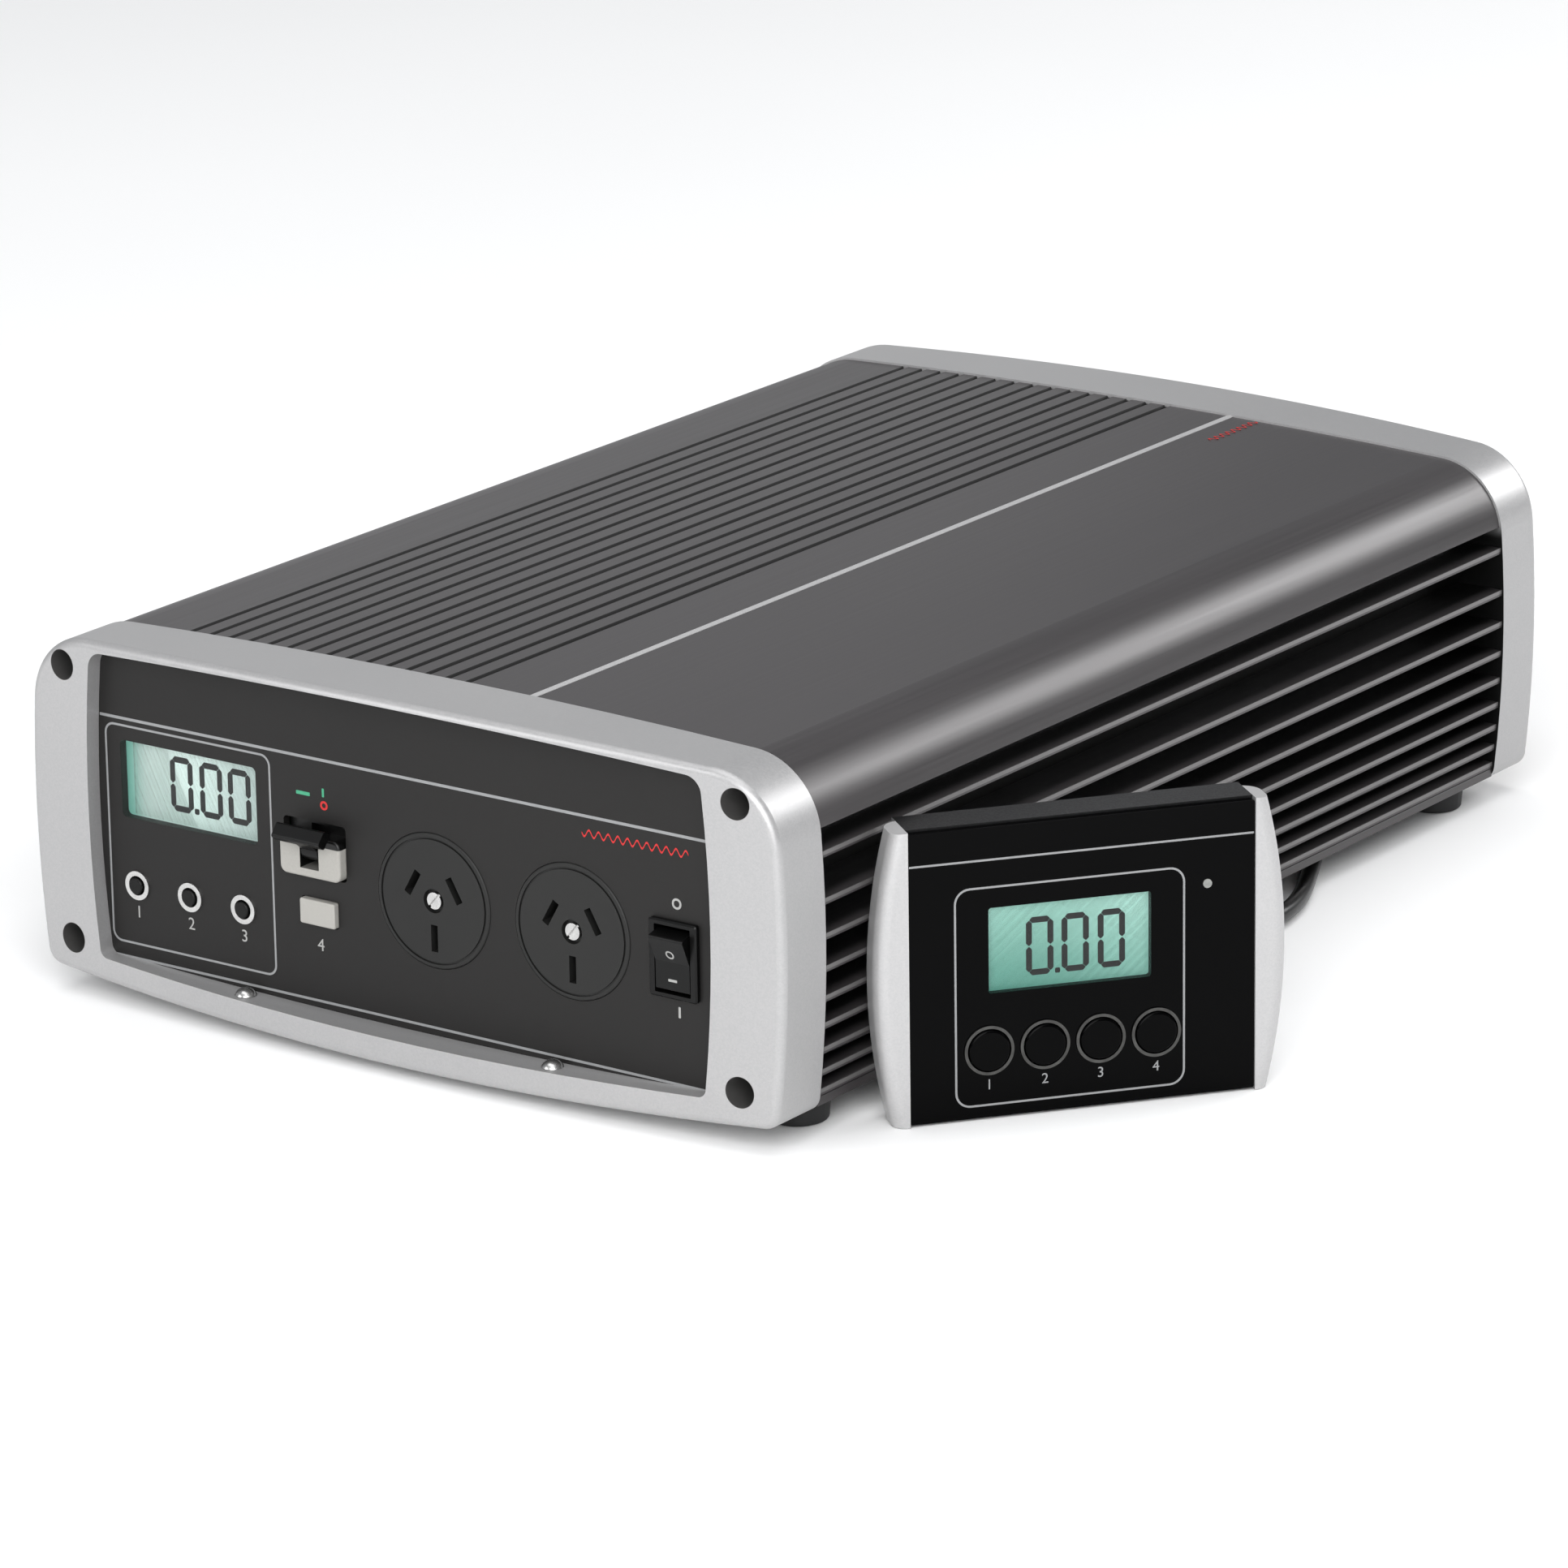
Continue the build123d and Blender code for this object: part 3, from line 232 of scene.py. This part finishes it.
def anodised_case():
    """Dark grey anodised extrusion, drawn along its length."""
    f = Finish("anodised_case", Metallic=0.3, IOR=1.6)
    draw = f.noise(900, 3, (1, 0.012, 1))
    cloud = f.noise(9, 2, (1, 0.3, 1))
    shade = cloud * 0.35 + draw * 0.65
    skin = f.blend(shade, tone(50, 48, 49), tone(76, 73, 74))
    x = f.along("X")
    z = f.along("Z")
    # The side bows out by 3 mm at its middle; reach is the distance out, freed of the bow.
    bow = (z - MIDDLE_Z * MM) ** 2 * (3 * MM / (43 * MM) ** 2)
    reach = abs(x) + bow
    below_shoulder = 1 - z.between(82 * MM, 86 * MM)
    shade_between_fins = 1 - reach.between(119 * MM, 123.4 * MM)
    # Painted highlight: a pale line along only the upper part of each fin's tip, so the fin reads as
    # a thin bright edge.
    line = sum(1 - abs(z - (height + 0.3) * MM).between(0.5 * MM, 0.6 * MM) for height in FIN_HEIGHTS)
    tip_highlight = reach.between(124.0 * MM, 124.3 * MM) * below_shoulder * line
    skin = f.blend(tip_highlight, skin, tone(108, 106, 106))
    # Painted shade: the colour goes nearly black between the fins and in the top's grooves, where
    # shade falls.
    pitch, first, last = GROOVE_PITCH * MM, GROOVE_FIRST * MM, GROOVE_LAST * MM
    off_line = abs((x - (first - pitch / 2)) % pitch - pitch / 2)
    groove_shade = 1 - off_line.between(0.85 * MM, 1.25 * MM)
    half_span = (last - first) / 2
    from_middle = abs(x - (first + last) / 2)
    ribbed = 1 - from_middle.between(half_span + 1.3 * MM, half_span + 1.4 * MM)
    painted_hollow_shade = shade_between_fins * below_shoulder + groove_shade * ribbed * (1 - below_shoulder)
    f.feed("Base Color", f.blend(painted_hollow_shade * 0.92, skin, tone(10, 10, 10)))
    f.feed("Roughness", 0.3 + draw * 0.12)
    return f.relief(draw + f.noise(2600, 2) * 0.5, 0.012 * MM, 0.35)


def satin_silver(name="satin_silver", light=174, metal=0.5):
    """Silver paint with a fine metal flake under a satin coat."""
    f = Finish(name, Metallic=metal, IOR=1.5)
    flake = f.cells(2400, out="Color")
    grain = f.node("ShaderNodeSeparateColor", sockets={0: flake})
    cloud = f.noise(14, 2)
    shade = grain * 0.4 + cloud * 0.6
    darker = tone(light - 12, light - 12, light - 11)
    lighter = tone(light + 6, light + 5, light + 5)
    paint = f.blend(shade, darker, lighter)
    # Painted shade: the paint turns dark grey at the mouths of the four screw bores, where shade
    # falls.
    across = abs(f.along("X")) - BORE_ACROSS * MM
    upward = abs(f.along("Z") - MIDDLE_Z * MM) - BORE_UPWARD * MM
    edge, past_edge = (BORE_RADIUS + 0.02) * MM, (BORE_RADIUS + 0.12) * MM
    bore_shade = 1 - (across ** 2 + upward ** 2).between(edge ** 2, past_edge ** 2)
    # Painted shade: the end frames' inner ends, which show between the fins, are coloured black where
    # shade falls.
    start, stop = (FRAME_INNER_END - 0.05) * MM, (FRAME_INNER_END + 0.05) * MM
    inner_end_shade = 1 - abs(f.along("Y")).between(start, stop)
    inner_end_shade = inner_end_shade * abs(f.along("X")).between(100 * MM, 101 * MM)
    inner_end_shade = inner_end_shade * (1 - f.along("Z").between(80 * MM, 86 * MM))
    paint = f.blend(inner_end_shade, paint, tone(26, 26, 26))
    f.feed("Base Color", f.blend(bore_shade, paint, tone(96, 95, 94)))
    f.feed("Roughness", 0.36 + grain * 0.08)
    return f.relief(f.noise(1500, 3), 0.01 * MM, 0.3)


def printed_panel():
    """Charcoal film over the metal panels, with a fine leather-like grain."""
    f = Finish("printed_panel", Specular_IOR_Level=0.3)
    grain = f.noise(1400, 4)
    cloud = f.noise(7, 2)
    f.feed("Base Color", f.blend(cloud * 0.7 + grain * 0.3, tone(27, 26, 26), tone(34, 33, 32)))
    f.feed("Roughness", 0.44 + grain * 0.14)
    return f.relief(grain, 0.02 * MM, 0.4)


def plated(name, light=205, rough=0.2):
    """Bright nickel plate with faint turning marks."""
    f = Finish(name, Metallic=1.0)
    wear = f.noise(420, 4)
    worn = tone(light - 25, light - 26, light - 26)
    bright = tone(light + 15, light + 15, light + 13)
    f.feed("Base Color", f.blend(wear, worn, bright))
    f.feed("Roughness", rough + wear * 0.14)
    return f.relief(f.noise(2200, 2), 0.01 * MM, 0.25)


def moulded(name, dark, light, rough, depth=0.02, gloss=0.5):
    """Moulded plastic with a fine spark-eroded texture."""
    f = Finish(name, Specular_IOR_Level=gloss)
    spark = f.noise(1700, 3)
    cloud = f.noise(30, 2)
    f.feed("Base Color", f.blend(cloud * 0.6 + spark * 0.4, tone(*dark), tone(*light)))
    f.feed("Roughness", rough + spark * 0.12)
    return f.relief(spark, depth * MM, 0.35)


def breaker_moulding():
    """Ivory moulding with painted shade: its slot and upper edge are coloured black where they lie in
    shadow.
    """
    f = Finish("breaker_moulding", Specular_IOR_Level=0.4)
    spark = f.noise(1700, 3)
    ivory = f.blend(spark, tone(150, 148, 143), tone(164, 162, 157))
    z = f.along("Z")
    # Painted shade: black in the slot and along the upper edge, which lie in shadow.
    slot = 1 - abs(f.along("X") - BREAKER_X * MM).between(3.12 * MM, 3.2 * MM)
    slot = slot * z.between(50.3 * MM, 50.5 * MM)
    shaded_upper_edge = z.between(57.0 * MM, 57.2 * MM)
    dark = slot + shaded_upper_edge - slot * shaded_upper_edge
    f.feed("Base Color", f.blend(dark, ivory, tone(12, 12, 12)))
    f.feed("Roughness", 0.32 + spark * 0.12)
    return f.relief(spark, 0.02 * MM, 0.3)


def glossy_black():
    """Polished black acrylic with the faintest handling haze."""
    f = Finish("glossy_black", Specular_IOR_Level=0.06)
    haze = f.noise(60, 4)
    f.feed("Base Color", f.blend(haze, tone(3, 3, 4), tone(8, 8, 9)))
    return f.feed("Roughness", 0.06 + haze.between(0.45, 0.75) * 0.08)


def rubber(name, rough):
    """Black rubber, a little dusty."""
    f = Finish(name, IOR=1.5)
    dust = f.noise(240, 5)
    f.feed("Base Color", f.blend(dust, tone(14, 14, 15), tone(34, 34, 35)))
    f.feed("Roughness", rough + dust * 0.15)
    return f.relief(f.noise(1300, 3), 0.02 * MM, 0.4)


def clear_window():
    """Clear acrylic pane that only adds a glint."""
    f = Finish("clear_window", Roughness=0.04, IOR=1.49)
    haze = f.noise(40, 3)
    f.feed("Base Color", f.blend(haze, tone(60, 68, 66), tone(90, 98, 96)))
    return f.feed("Alpha", 0.04 + haze * 0.008)


def panel_glass():
    """Lit glass of the main meter: pale, with the lamp's green at its left edge."""
    f = Finish("panel_glass", Roughness=0.3, Emission_Strength=0.42)
    x = f.along("X")
    z = f.along("Z")
    lamp = 1 - x.between(-97.4 * MM, -90.0 * MM)
    pale = f.blend(z.between(50 * MM, 76 * MM), tone(192, 214, 208), tone(208, 226, 221))
    # Painted shade: the glass is darkened towards its right.
    pale = f.blend(x.between(-78 * MM, -50 * MM) * 0.75, pale, tone(160, 176, 173))
    glow = f.blend(lamp, pale, tone(118, 178, 164))
    fine = f.noise(1800, 2)
    glow = f.blend(fine * 0.05, glow, tone(150, 190, 182))
    return f.feed("Base Color", glow).feed("Emission Color", glow)


def on_remote(f):
    """Object coordinates in the remote's own turned axes; Mapping turns before it shifts."""
    x, y = REMOTE_AT
    cosine, sine = math.cos(REMOTE_TURN), math.sin(REMOTE_TURN)
    home = (-x * cosine - y * sine, x * sine - y * cosine, 0)
    return f.where(turn=-REMOTE_TURN, shift=home)


def remote_shell():
    """Black moulded box between two cheeks in silver paint."""
    f = Finish("remote_shell_paint", IOR=1.5)
    cheek = abs(f.along("X", on_remote(f))).between(46.8 * MM, 46.9 * MM)
    flake = f.node("ShaderNodeSeparateColor", sockets={0: f.cells(2400, out="Color")})
    silver = f.blend(flake * 0.4 + f.noise(14, 2) * 0.6, tone(170, 170, 171), tone(188, 187, 187))
    f.feed("Base Color", f.blend(cheek, tone(16, 16, 17), silver))
    f.feed("Metallic", cheek * 0.3)
    f.feed("Roughness", 0.32 + flake * 0.1)
    return f.relief(f.noise(1500, 3), 0.01 * MM, 0.3)


def remote_glass():
    """Lit glass of the remote's meter: teal, deeper toward its lower corner."""
    f = Finish("remote_glass", Roughness=0.3, Emission_Strength=0.32)
    place = on_remote(f)
    x = f.along("X", place)
    z = f.along("Z", place)
    fade = x.between(-28 * MM, 22 * MM) * 0.35 + z.between(33 * MM, 60 * MM) * 0.65
    teal = f.blend(fade, tone(92, 150, 136), tone(164, 208, 196))
    fine = f.noise(1800, 2)
    teal = f.blend(fine * 0.05, teal, tone(80, 130, 120))
    return f.feed("Base Color", teal).feed("Emission Color", teal)


def lamp_lens():
    """Frosted lens of the status lamp, barely lit."""
    f = Finish("lamp_lens", Roughness=0.25, Emission_Strength=0.08)
    frost = f.noise(900, 3)
    glow = f.blend(frost, tone(112, 114, 112), tone(140, 141, 138))
    return f.feed("Base Color", glow).feed("Emission Color", glow)


def circuit_board():
    """Green solder mask with paler copper tracks under it."""
    f = Finish("circuit_board", Coat_Weight=0.3)
    tracks = f.cells(160, (1, 1.7, 1)).between(0.28, 0.34)
    mask = f.blend(f.noise(30, 2), tone(14, 62, 34), tone(22, 78, 44))
    f.feed("Base Color", f.blend(tracks * 0.5, mask, tone(58, 116, 70)))
    f.feed("Roughness", 0.32 + tracks * 0.1)
    return f.relief(tracks, 0.03 * MM)


def bare_metal(name, dark, light, rough):
    """Unplated metal with an uneven tarnish."""
    f = Finish(name, Metallic=1.0)
    tarnish = f.noise(170, 5)
    f.feed("Base Color", f.blend(tarnish, tone(*dark), tone(*light)))
    f.feed("Roughness", rough + tarnish * 0.18)
    return f.relief(f.noise(1500, 2), 0.01 * MM, 0.3)


def sleeve_can():
    """Capacitor sleeve: dark film with a pale stripe down one side."""
    f = Finish("sleeve_can", Roughness=0.35)
    stripe = f.noise(55, 1, (1, 1, 0.02)).between(0.58, 0.6)
    return f.feed("Base Color", f.blend(stripe * 0.8, tone(24, 26, 34), tone(150, 152, 158)))


def wound_core():
    """Varnished tape and wire round the transformers and the choke."""
    f = Finish("wound_core", Coat_Weight=0.4)
    sockets = {"Vector": f.where(), "Scale": 260.0}
    turns = f.node("ShaderNodeTexWave", {"bands_direction": "DIAGONAL"}, sockets)
    f.feed("Base Color", f.blend(turns, tone(92, 58, 20), tone(166, 116, 48)))
    f.feed("Roughness", 0.35 + turns * 0.1)
    return f.relief(turns, 0.15 * MM)


def ink(name, colour, metal=0.0):
    """Screen-printed ink, a little uneven at its surface."""
    f = Finish(name, Metallic=metal)
    mottle = f.noise(700, 3)
    darker = tuple(int(c * 0.9) for c in colour)
    shade = f.blend(mottle, tone(*darker), tone(*colour))
    return f.feed("Base Color", shade).feed("Roughness", 0.4 + mottle * 0.15)


FINISHES = {
    "case": anodised_case(),
    "bezel": satin_silver(),
    "panel": printed_panel(),
    "bright": plated("nickel_plate"),
    "screw": plated("blackened_screws", 48, 0.42),
    "rubber": rubber("foot_rubber", 0.55),
    "window": clear_window(),
    "board": circuit_board(),
    "black_plastic": moulded("black_moulding", (9, 9, 9), (15, 15, 15), 0.3, gloss=0.25),
    "black_gloss": glossy_black(),
    "ivory": moulded("ivory_moulding", (150, 148, 143), (164, 162, 157), 0.3, 0.01),
    "brass": bare_metal("brass", (150, 118, 54), (206, 172, 96), 0.24),
    "red_plastic": moulded("red_moulding", (140, 18, 16), (168, 26, 22), 0.34),
    "remote_shell": remote_shell(),
    "ferrite": wound_core(),
    "can": sleeve_can(),
    "copper": bare_metal("copper", (150, 84, 52), (206, 132, 92), 0.26),
    "fuse": moulded("fuse_amber", (196, 120, 24), (222, 148, 40), 0.25),
    "display": panel_glass(),
}
OUTLET = moulded("outlet_moulding", (30, 30, 30), (38, 38, 37), 0.38, gloss=0.3)
NODE_FINISH = {
    "breaker_body": breaker_moulding(),
    "top_trim_strip": satin_silver("trim_silver", 184, 0.3),
    "socket_left": OUTLET,
    "socket_right": OUTLET,
    "remote_display": remote_glass(),
    "remote_button_rings": plated("remote_rings", 84, 0.3),
    "remote_lamp": lamp_lens(),
}

for name, node in NODES.items():
    for slot in node.material_slots:
        finish = NODE_FINISH.get(name) or FINISHES[slot.material.name.split(".")[0]]
        slot.material = finish.material

CABLE = moulded("cable_jacket", (7, 7, 7), (14, 14, 14), 0.24, gloss=0.4)
remote_cable.data.materials.append(CABLE.material)

SILVER_INK = ink("silver_ink", (146, 147, 148), 0.2)
WHITE_INK = ink("white_ink", (160, 160, 158))
RED_INK = ink("red_ink", (196, 34, 34))
GREEN_INK = ink("green_ink", (64, 158, 120))
METER_INK = ink("meter_segments", (26, 28, 28))
REMOTE_INK = ink("remote_segments", (10, 14, 14))


# ---- making small flat pieces ---------------------------------------------------
def start_plate(x, y, width, height):
    """A plate's flat start at x, y of its face, all selected in edit mode."""
    bpy.ops.object.select_all(action="DESELECT")
    bpy.ops.mesh.primitive_plane_add(size=1, location=(x, y, 0))
    plate = bpy.context.active_object
    plate.scale = (width, height, 1)
    bpy.ops.object.transform_apply(location=True, rotation=True, scale=True)
    bpy.ops.object.mode_set(mode="EDIT")
    bpy.ops.mesh.select_all(action="SELECT")
    return plate


def raise_plate(plate, thick):
    """Gives a flat shape its thickness and closes its edges."""
    bpy.ops.mesh.select_all(action="SELECT")
    bpy.ops.mesh.extrude_region_move(TRANSFORM_OT_translate={"value": (0, 0, thick)})
    bpy.ops.mesh.select_all(action="SELECT")
    bpy.ops.mesh.normals_make_consistent(inside=False)
    bpy.ops.object.mode_set(mode="OBJECT")
    return plate


def bar(x, y, width, height, corner, thick=INK, steps=4):
    """A raised bar with rounded corners; one step gives pointed ends."""
    plate = start_plate(x, y, width, height)
    bpy.ops.mesh.bevel(offset=corner, segments=steps, affect="VERTICES")
    return raise_plate(plate, thick)


def outline(x, y, width, height, corner, stroke):
    """A rounded frame line."""
    plate = start_plate(x, y, width, height)
    bpy.ops.mesh.bevel(offset=corner, segments=8, affect="VERTICES")
    bpy.ops.mesh.inset(thickness=stroke)
    bpy.ops.mesh.delete(type="FACE")
    return raise_plate(plate, INK)


def numeral(text, x, y, height):
    """A plain numeral or sign, centred on x, y."""
    bpy.ops.object.select_all(action="DESELECT")
    bpy.ops.object.text_add(location=(0, 0, 0))
    sign = bpy.context.active_object
    sign.data.body = text
    sign.data.size = height * 1.42
    sign.data.align_x = "CENTER"
    sign.data.align_y = "CENTER"
    sign.data.resolution_u = 4
    sign.data.extrude = INK / 2
    bpy.ops.object.convert(target="MESH")
    sign = bpy.context.active_object
    sign.location = (x, y, INK / 2)
    bpy.ops.object.transform_apply(location=True, rotation=True, scale=True)
    return sign


def ripple(x, y, length, swing, waves, stroke):
    """A row of waves drawn as one thin raised line."""
    plate = start_plate(x, y, length, stroke)
    bpy.ops.mesh.select_mode(type="EDGE")
    bpy.ops.mesh.select_all(action="DESELECT")
    bpy.ops.object.mode_set(mode="OBJECT")
    for edge in plate.data.edges:
        first, second = (plate.data.vertices[i].co for i in edge.vertices)
        edge.select = abs(first.y - second.y) < stroke / 2
    bpy.ops.object.mode_set(mode="EDIT")
    bpy.ops.mesh.subdivide(number_cuts=waves * 10 - 1)
    bpy.ops.object.mode_set(mode="OBJECT")
    for corner in plate.data.vertices:
        phase = (corner.co.x - x) / length * waves * 2 * math.pi
        corner.co.y += swing * math.sin(phase)
    bpy.ops.object.mode_set(mode="EDIT")
    return raise_plate(plate, INK)


def joined(pieces, name):
    """Several pieces as one mesh object."""
    bpy.ops.object.select_all(action="DESELECT")
    for piece in pieces:
        piece.select_set(True)
    bpy.context.view_layer.objects.active = pieces[0]
    if len(pieces) > 1:
        bpy.ops.object.join()
    whole = bpy.context.active_object
    whole.name = name
    whole.data.name = name
    return whole


def settle(pieces, name, face, finish, body=HOUSING, depth=0.0):
    """Joins pieces, puts them on a face and lets them ride with a body."""
    whole = joined(pieces, name)
    whole.matrix_world = face @ Matrix.Translation((0, 0, depth))
    bpy.ops.object.transform_apply(location=True, rotation=True, scale=True)
    whole.data.materials.clear()
    whole.data.materials.append(finish.material)
    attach(whole, body)
    return whole


def meter_zero(x, y, width, height, stroke):
    """A meter's 0: the six outer segments, each a bar with pointed ends."""
    gap = stroke * 0.22
    upright = height / 2 - stroke / 2 - gap
    level = width - stroke - gap
    side, rise = (width - stroke) / 2, height / 4 - stroke / 4
    segments = [
        (0, height / 2 - stroke / 2, level, stroke),
        (side, rise, stroke, upright),
        (side, -rise, stroke, upright),
        (0, stroke / 2 - height / 2, level, stroke),
        (-side, -rise, stroke, upright),
        (-side, rise, stroke, upright),
    ]
    return [bar(x + dx, y + dy, w, h, stroke * 0.42, SEGMENT, 1) for dx, dy, w, h in segments]


def mm(*values):
    """Millimetres as metres."""
    return [v * MM for v in values]


# ---- prints on the front panel --------------------------------------------------
lines = [
    bar(*mm(0, 80.4, 205, 0.8, 0.2)),
    bar(*mm(0, 12.9, 203, 0.7, 0.2)),
    outline(*mm(-72.4, 47.75, 57.2, 61.9, 3.2, 0.6)),
]
settle(lines, "front_panel_lines", FRONT_FACE, SILVER_INK)

BUTTON_X = (-91.4, -73.0, -54.6)
numbers = [numeral(str(i + 1), *mm(x, 26.2, 3.4)) for i, x in enumerate(BUTTON_X)]
numbers.append(numeral("4", *mm(-28.3, 28.6, 3.4)))
numbers.append(bar(*mm(89.9, 32.6, 0.7, 3.0, 0.2)))
numbers.append(outline(*mm(89.6, 61.9, 3.0, 3.0, 1.45, 0.6)))
settle(numbers, "front_panel_numerals", FRONT_FACE, WHITE_INK)

green = [bar(*mm(-32.8, 70.2, 4.6, 1.0, 0.2)), bar(*mm(-26.0, 71.4, 0.7, 2.4, 0.2))]
settle(green, "breaker_on_marks", FRONT_FACE, GREEN_INK)
red = [
    outline(*mm(-25.8, 67.9, 2.5, 2.5, 1.2, 0.6)),
    ripple(*mm(76.6, 75.8, 34.0, 0.95), waves=11, stroke=0.55 * MM),
]
settle(red, "panel_red_marks", FRONT_FACE, RED_INK)

# The rocker rests tilted on its pivot, and its two faces lean either way from its middle line.
ROCKER_PIVOT = mm(89.0, -182.4, 46.9)
ROCKER_TILT = Matrix.Rotation(math.radians(12), 4, "X")
ROCKER = Matrix.Translation(ROCKER_PIVOT) @ ROCKER_TILT @ Matrix.Translation(mm(0, -2.6, 0))
LEAN = Matrix.Rotation(math.radians(11.6), 4, "X")
off_mark = [outline(*mm(0, 2.6, 2.6, 2.6, 1.25, 0.45))]
settle(off_mark, "rocker_off_mark", ROCKER @ LEAN @ UPRIGHT, WHITE_INK, "power_rocker_body")
on_mark = [bar(*mm(0, -4.9, 2.8, 0.7, 0.2))]
settle(on_mark, "rocker_on_mark", ROCKER @ LEAN.inverted() @ UPRIGHT, WHITE_INK, "power_rocker_body")

METER_DEPTH = -(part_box("meter_display")[0].y - PANEL_FACE_Y)
reading = []
for x in (-77.6, -67.4, -57.6):
    reading += meter_zero(*mm(x, 63.7, 7.8, 15.4, 1.7))
reading.append(bar(*mm(-72.6, 57.0, 1.6, 1.6, 0.4), SEGMENT))
settle(reading, "meter_reading", FRONT_FACE, METER_INK, depth=METER_DEPTH)


# ---- prints on the remote ---------------------------------------------------------
remote_lines = [
    bar(*mm(0, 70.35, 93.0, 0.55, 0.15)),
    outline(*mm(-3.4, 33.4, 62.4, 59.6, 4.2, 0.55)),
]
settle(remote_lines, "remote_face_lines", REMOTE_FACE, SILVER_INK)
REMOTE_BUTTON_X = (-25.4, -10.3, 4.8, 19.9)
remote_numbers = [numeral(str(i + 1), *mm(x, 9.3, 2.8)) for i, x in enumerate(REMOTE_BUTTON_X)]
settle(remote_numbers, "remote_numerals", REMOTE_FACE, SILVER_INK)
REMOTE_METER_DEPTH = -2.2 * MM
remote_reading = []
for x in (-10.9, -1.3, 8.5):
    remote_reading += meter_zero(*mm(x, 45.0, 7.4, 15.8, 1.6))
remote_reading.append(bar(*mm(-6.1, 37.8, 1.4, 1.4, 0.4), SEGMENT))
settle(remote_reading, "remote_reading", REMOTE_FACE, REMOTE_INK, depth=REMOTE_METER_DEPTH)


# ---- top mark and rear signs --------------------------------------------------------
# The top is crowned, so at the mark's place it lies a little below its highest line.
TOP_AT_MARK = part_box("upper_case")[1].z - 0.22 * MM
TOP_FACE = Matrix.Translation((41 * MM, 154.5 * MM, TOP_AT_MARK))
TOP_FACE = TOP_FACE @ Matrix.Rotation(math.radians(90), 4, "Z")
top_mark = [ripple(*mm(0, 0, 24.0, 1.1), waves=8, stroke=0.6 * MM)]
settle(top_mark, "top_red_mark", TOP_FACE, RED_INK)

# Plus and minus over the battery posts, and the earth sign beside its stud.
PLUS_X, MINUS_X, EARTH_X = -82, -56, -78
signs = [
    bar(*mm(PLUS_X, 60.5, 5.0, 1.0, 0.2)),
    bar(*mm(MINUS_X, 60.5, 5.0, 1.0, 0.2)),
    bar(*mm(PLUS_X, 60.5, 1.0, 5.0, 0.2)),
    bar(*mm(EARTH_X, 24.5, 0.7, 4.0, 0.2)),
    bar(*mm(EARTH_X, 22.3, 6.0, 0.7, 0.2)),
    bar(*mm(EARTH_X, 20.8, 4.0, 0.7, 0.2)),
    bar(*mm(EARTH_X, 19.3, 2.0, 0.7, 0.2)),
]
settle(signs, "rear_signs", REAR_FACE, WHITE_INK)


# ---- studio ---------------------------------------------------------------------
bpy.ops.object.select_all(action="DESELECT")
bpy.ops.mesh.primitive_plane_add(size=24, location=(0, 0, -0.2 * MM))
floor = bpy.context.active_object
floor.name = "floor"
paper = Finish("floor_paper", Specular_IOR_Level=0.1)
sweep = paper.noise(3, 2)
paper.feed("Base Color", paper.blend(sweep, tone(248, 248, 248), tone(252, 252, 252)))
paper.feed("Roughness", 0.85 + sweep * 0.1)
floor.data.materials.append(paper.material)


LIGHT_TARGET = Vector((0, 0, 0.05))


def softbox(name, azimuth, elevation, distance, width, height, power):
    """An area light that looks at the case. Azimuth 0 is in front, 90 to the right."""
    data = bpy.data.lights.new(name, "AREA")
    data.shape = "RECTANGLE"
    data.size, data.size_y = width, height
    data.energy = power
    lamp = bpy.data.objects.new(name, data)
    a, e = math.radians(azimuth), math.radians(elevation)
    away = Vector((math.sin(a) * math.cos(e), -math.cos(a) * math.cos(e), math.sin(e)))
    lamp.location = LIGHT_TARGET + away * distance
    lamp.rotation_mode = "QUATERNION"
    lamp.rotation_quaternion = away.to_track_quat("Z", "Y")
    lamp.visible_camera = False
    bpy.context.scene.collection.objects.link(lamp)


softbox("key_box", 34, 26, 1.6, 1.2, 1.2, 22)
softbox("front_box", -30, 24, 2.4, 1.2, 1.2, 14)
softbox("back_box", 152, 25, 2.2, 1.2, 0.5, 18)
softbox("rear_left_box", 222, 12, 2.6, 1.0, 0.5, 0.8)
softbox("top_box", 0, 88, 2.6, 2.6, 2.6, 38)

sky = bpy.data.worlds.new("studio_air")
sky.use_nodes = True
air = sky.node_tree.nodes["Background"]
air.inputs["Color"].default_value = (0.9, 0.92, 0.95, 1.0)
air.inputs["Strength"].default_value = 0.35
bpy.context.scene.world = sky
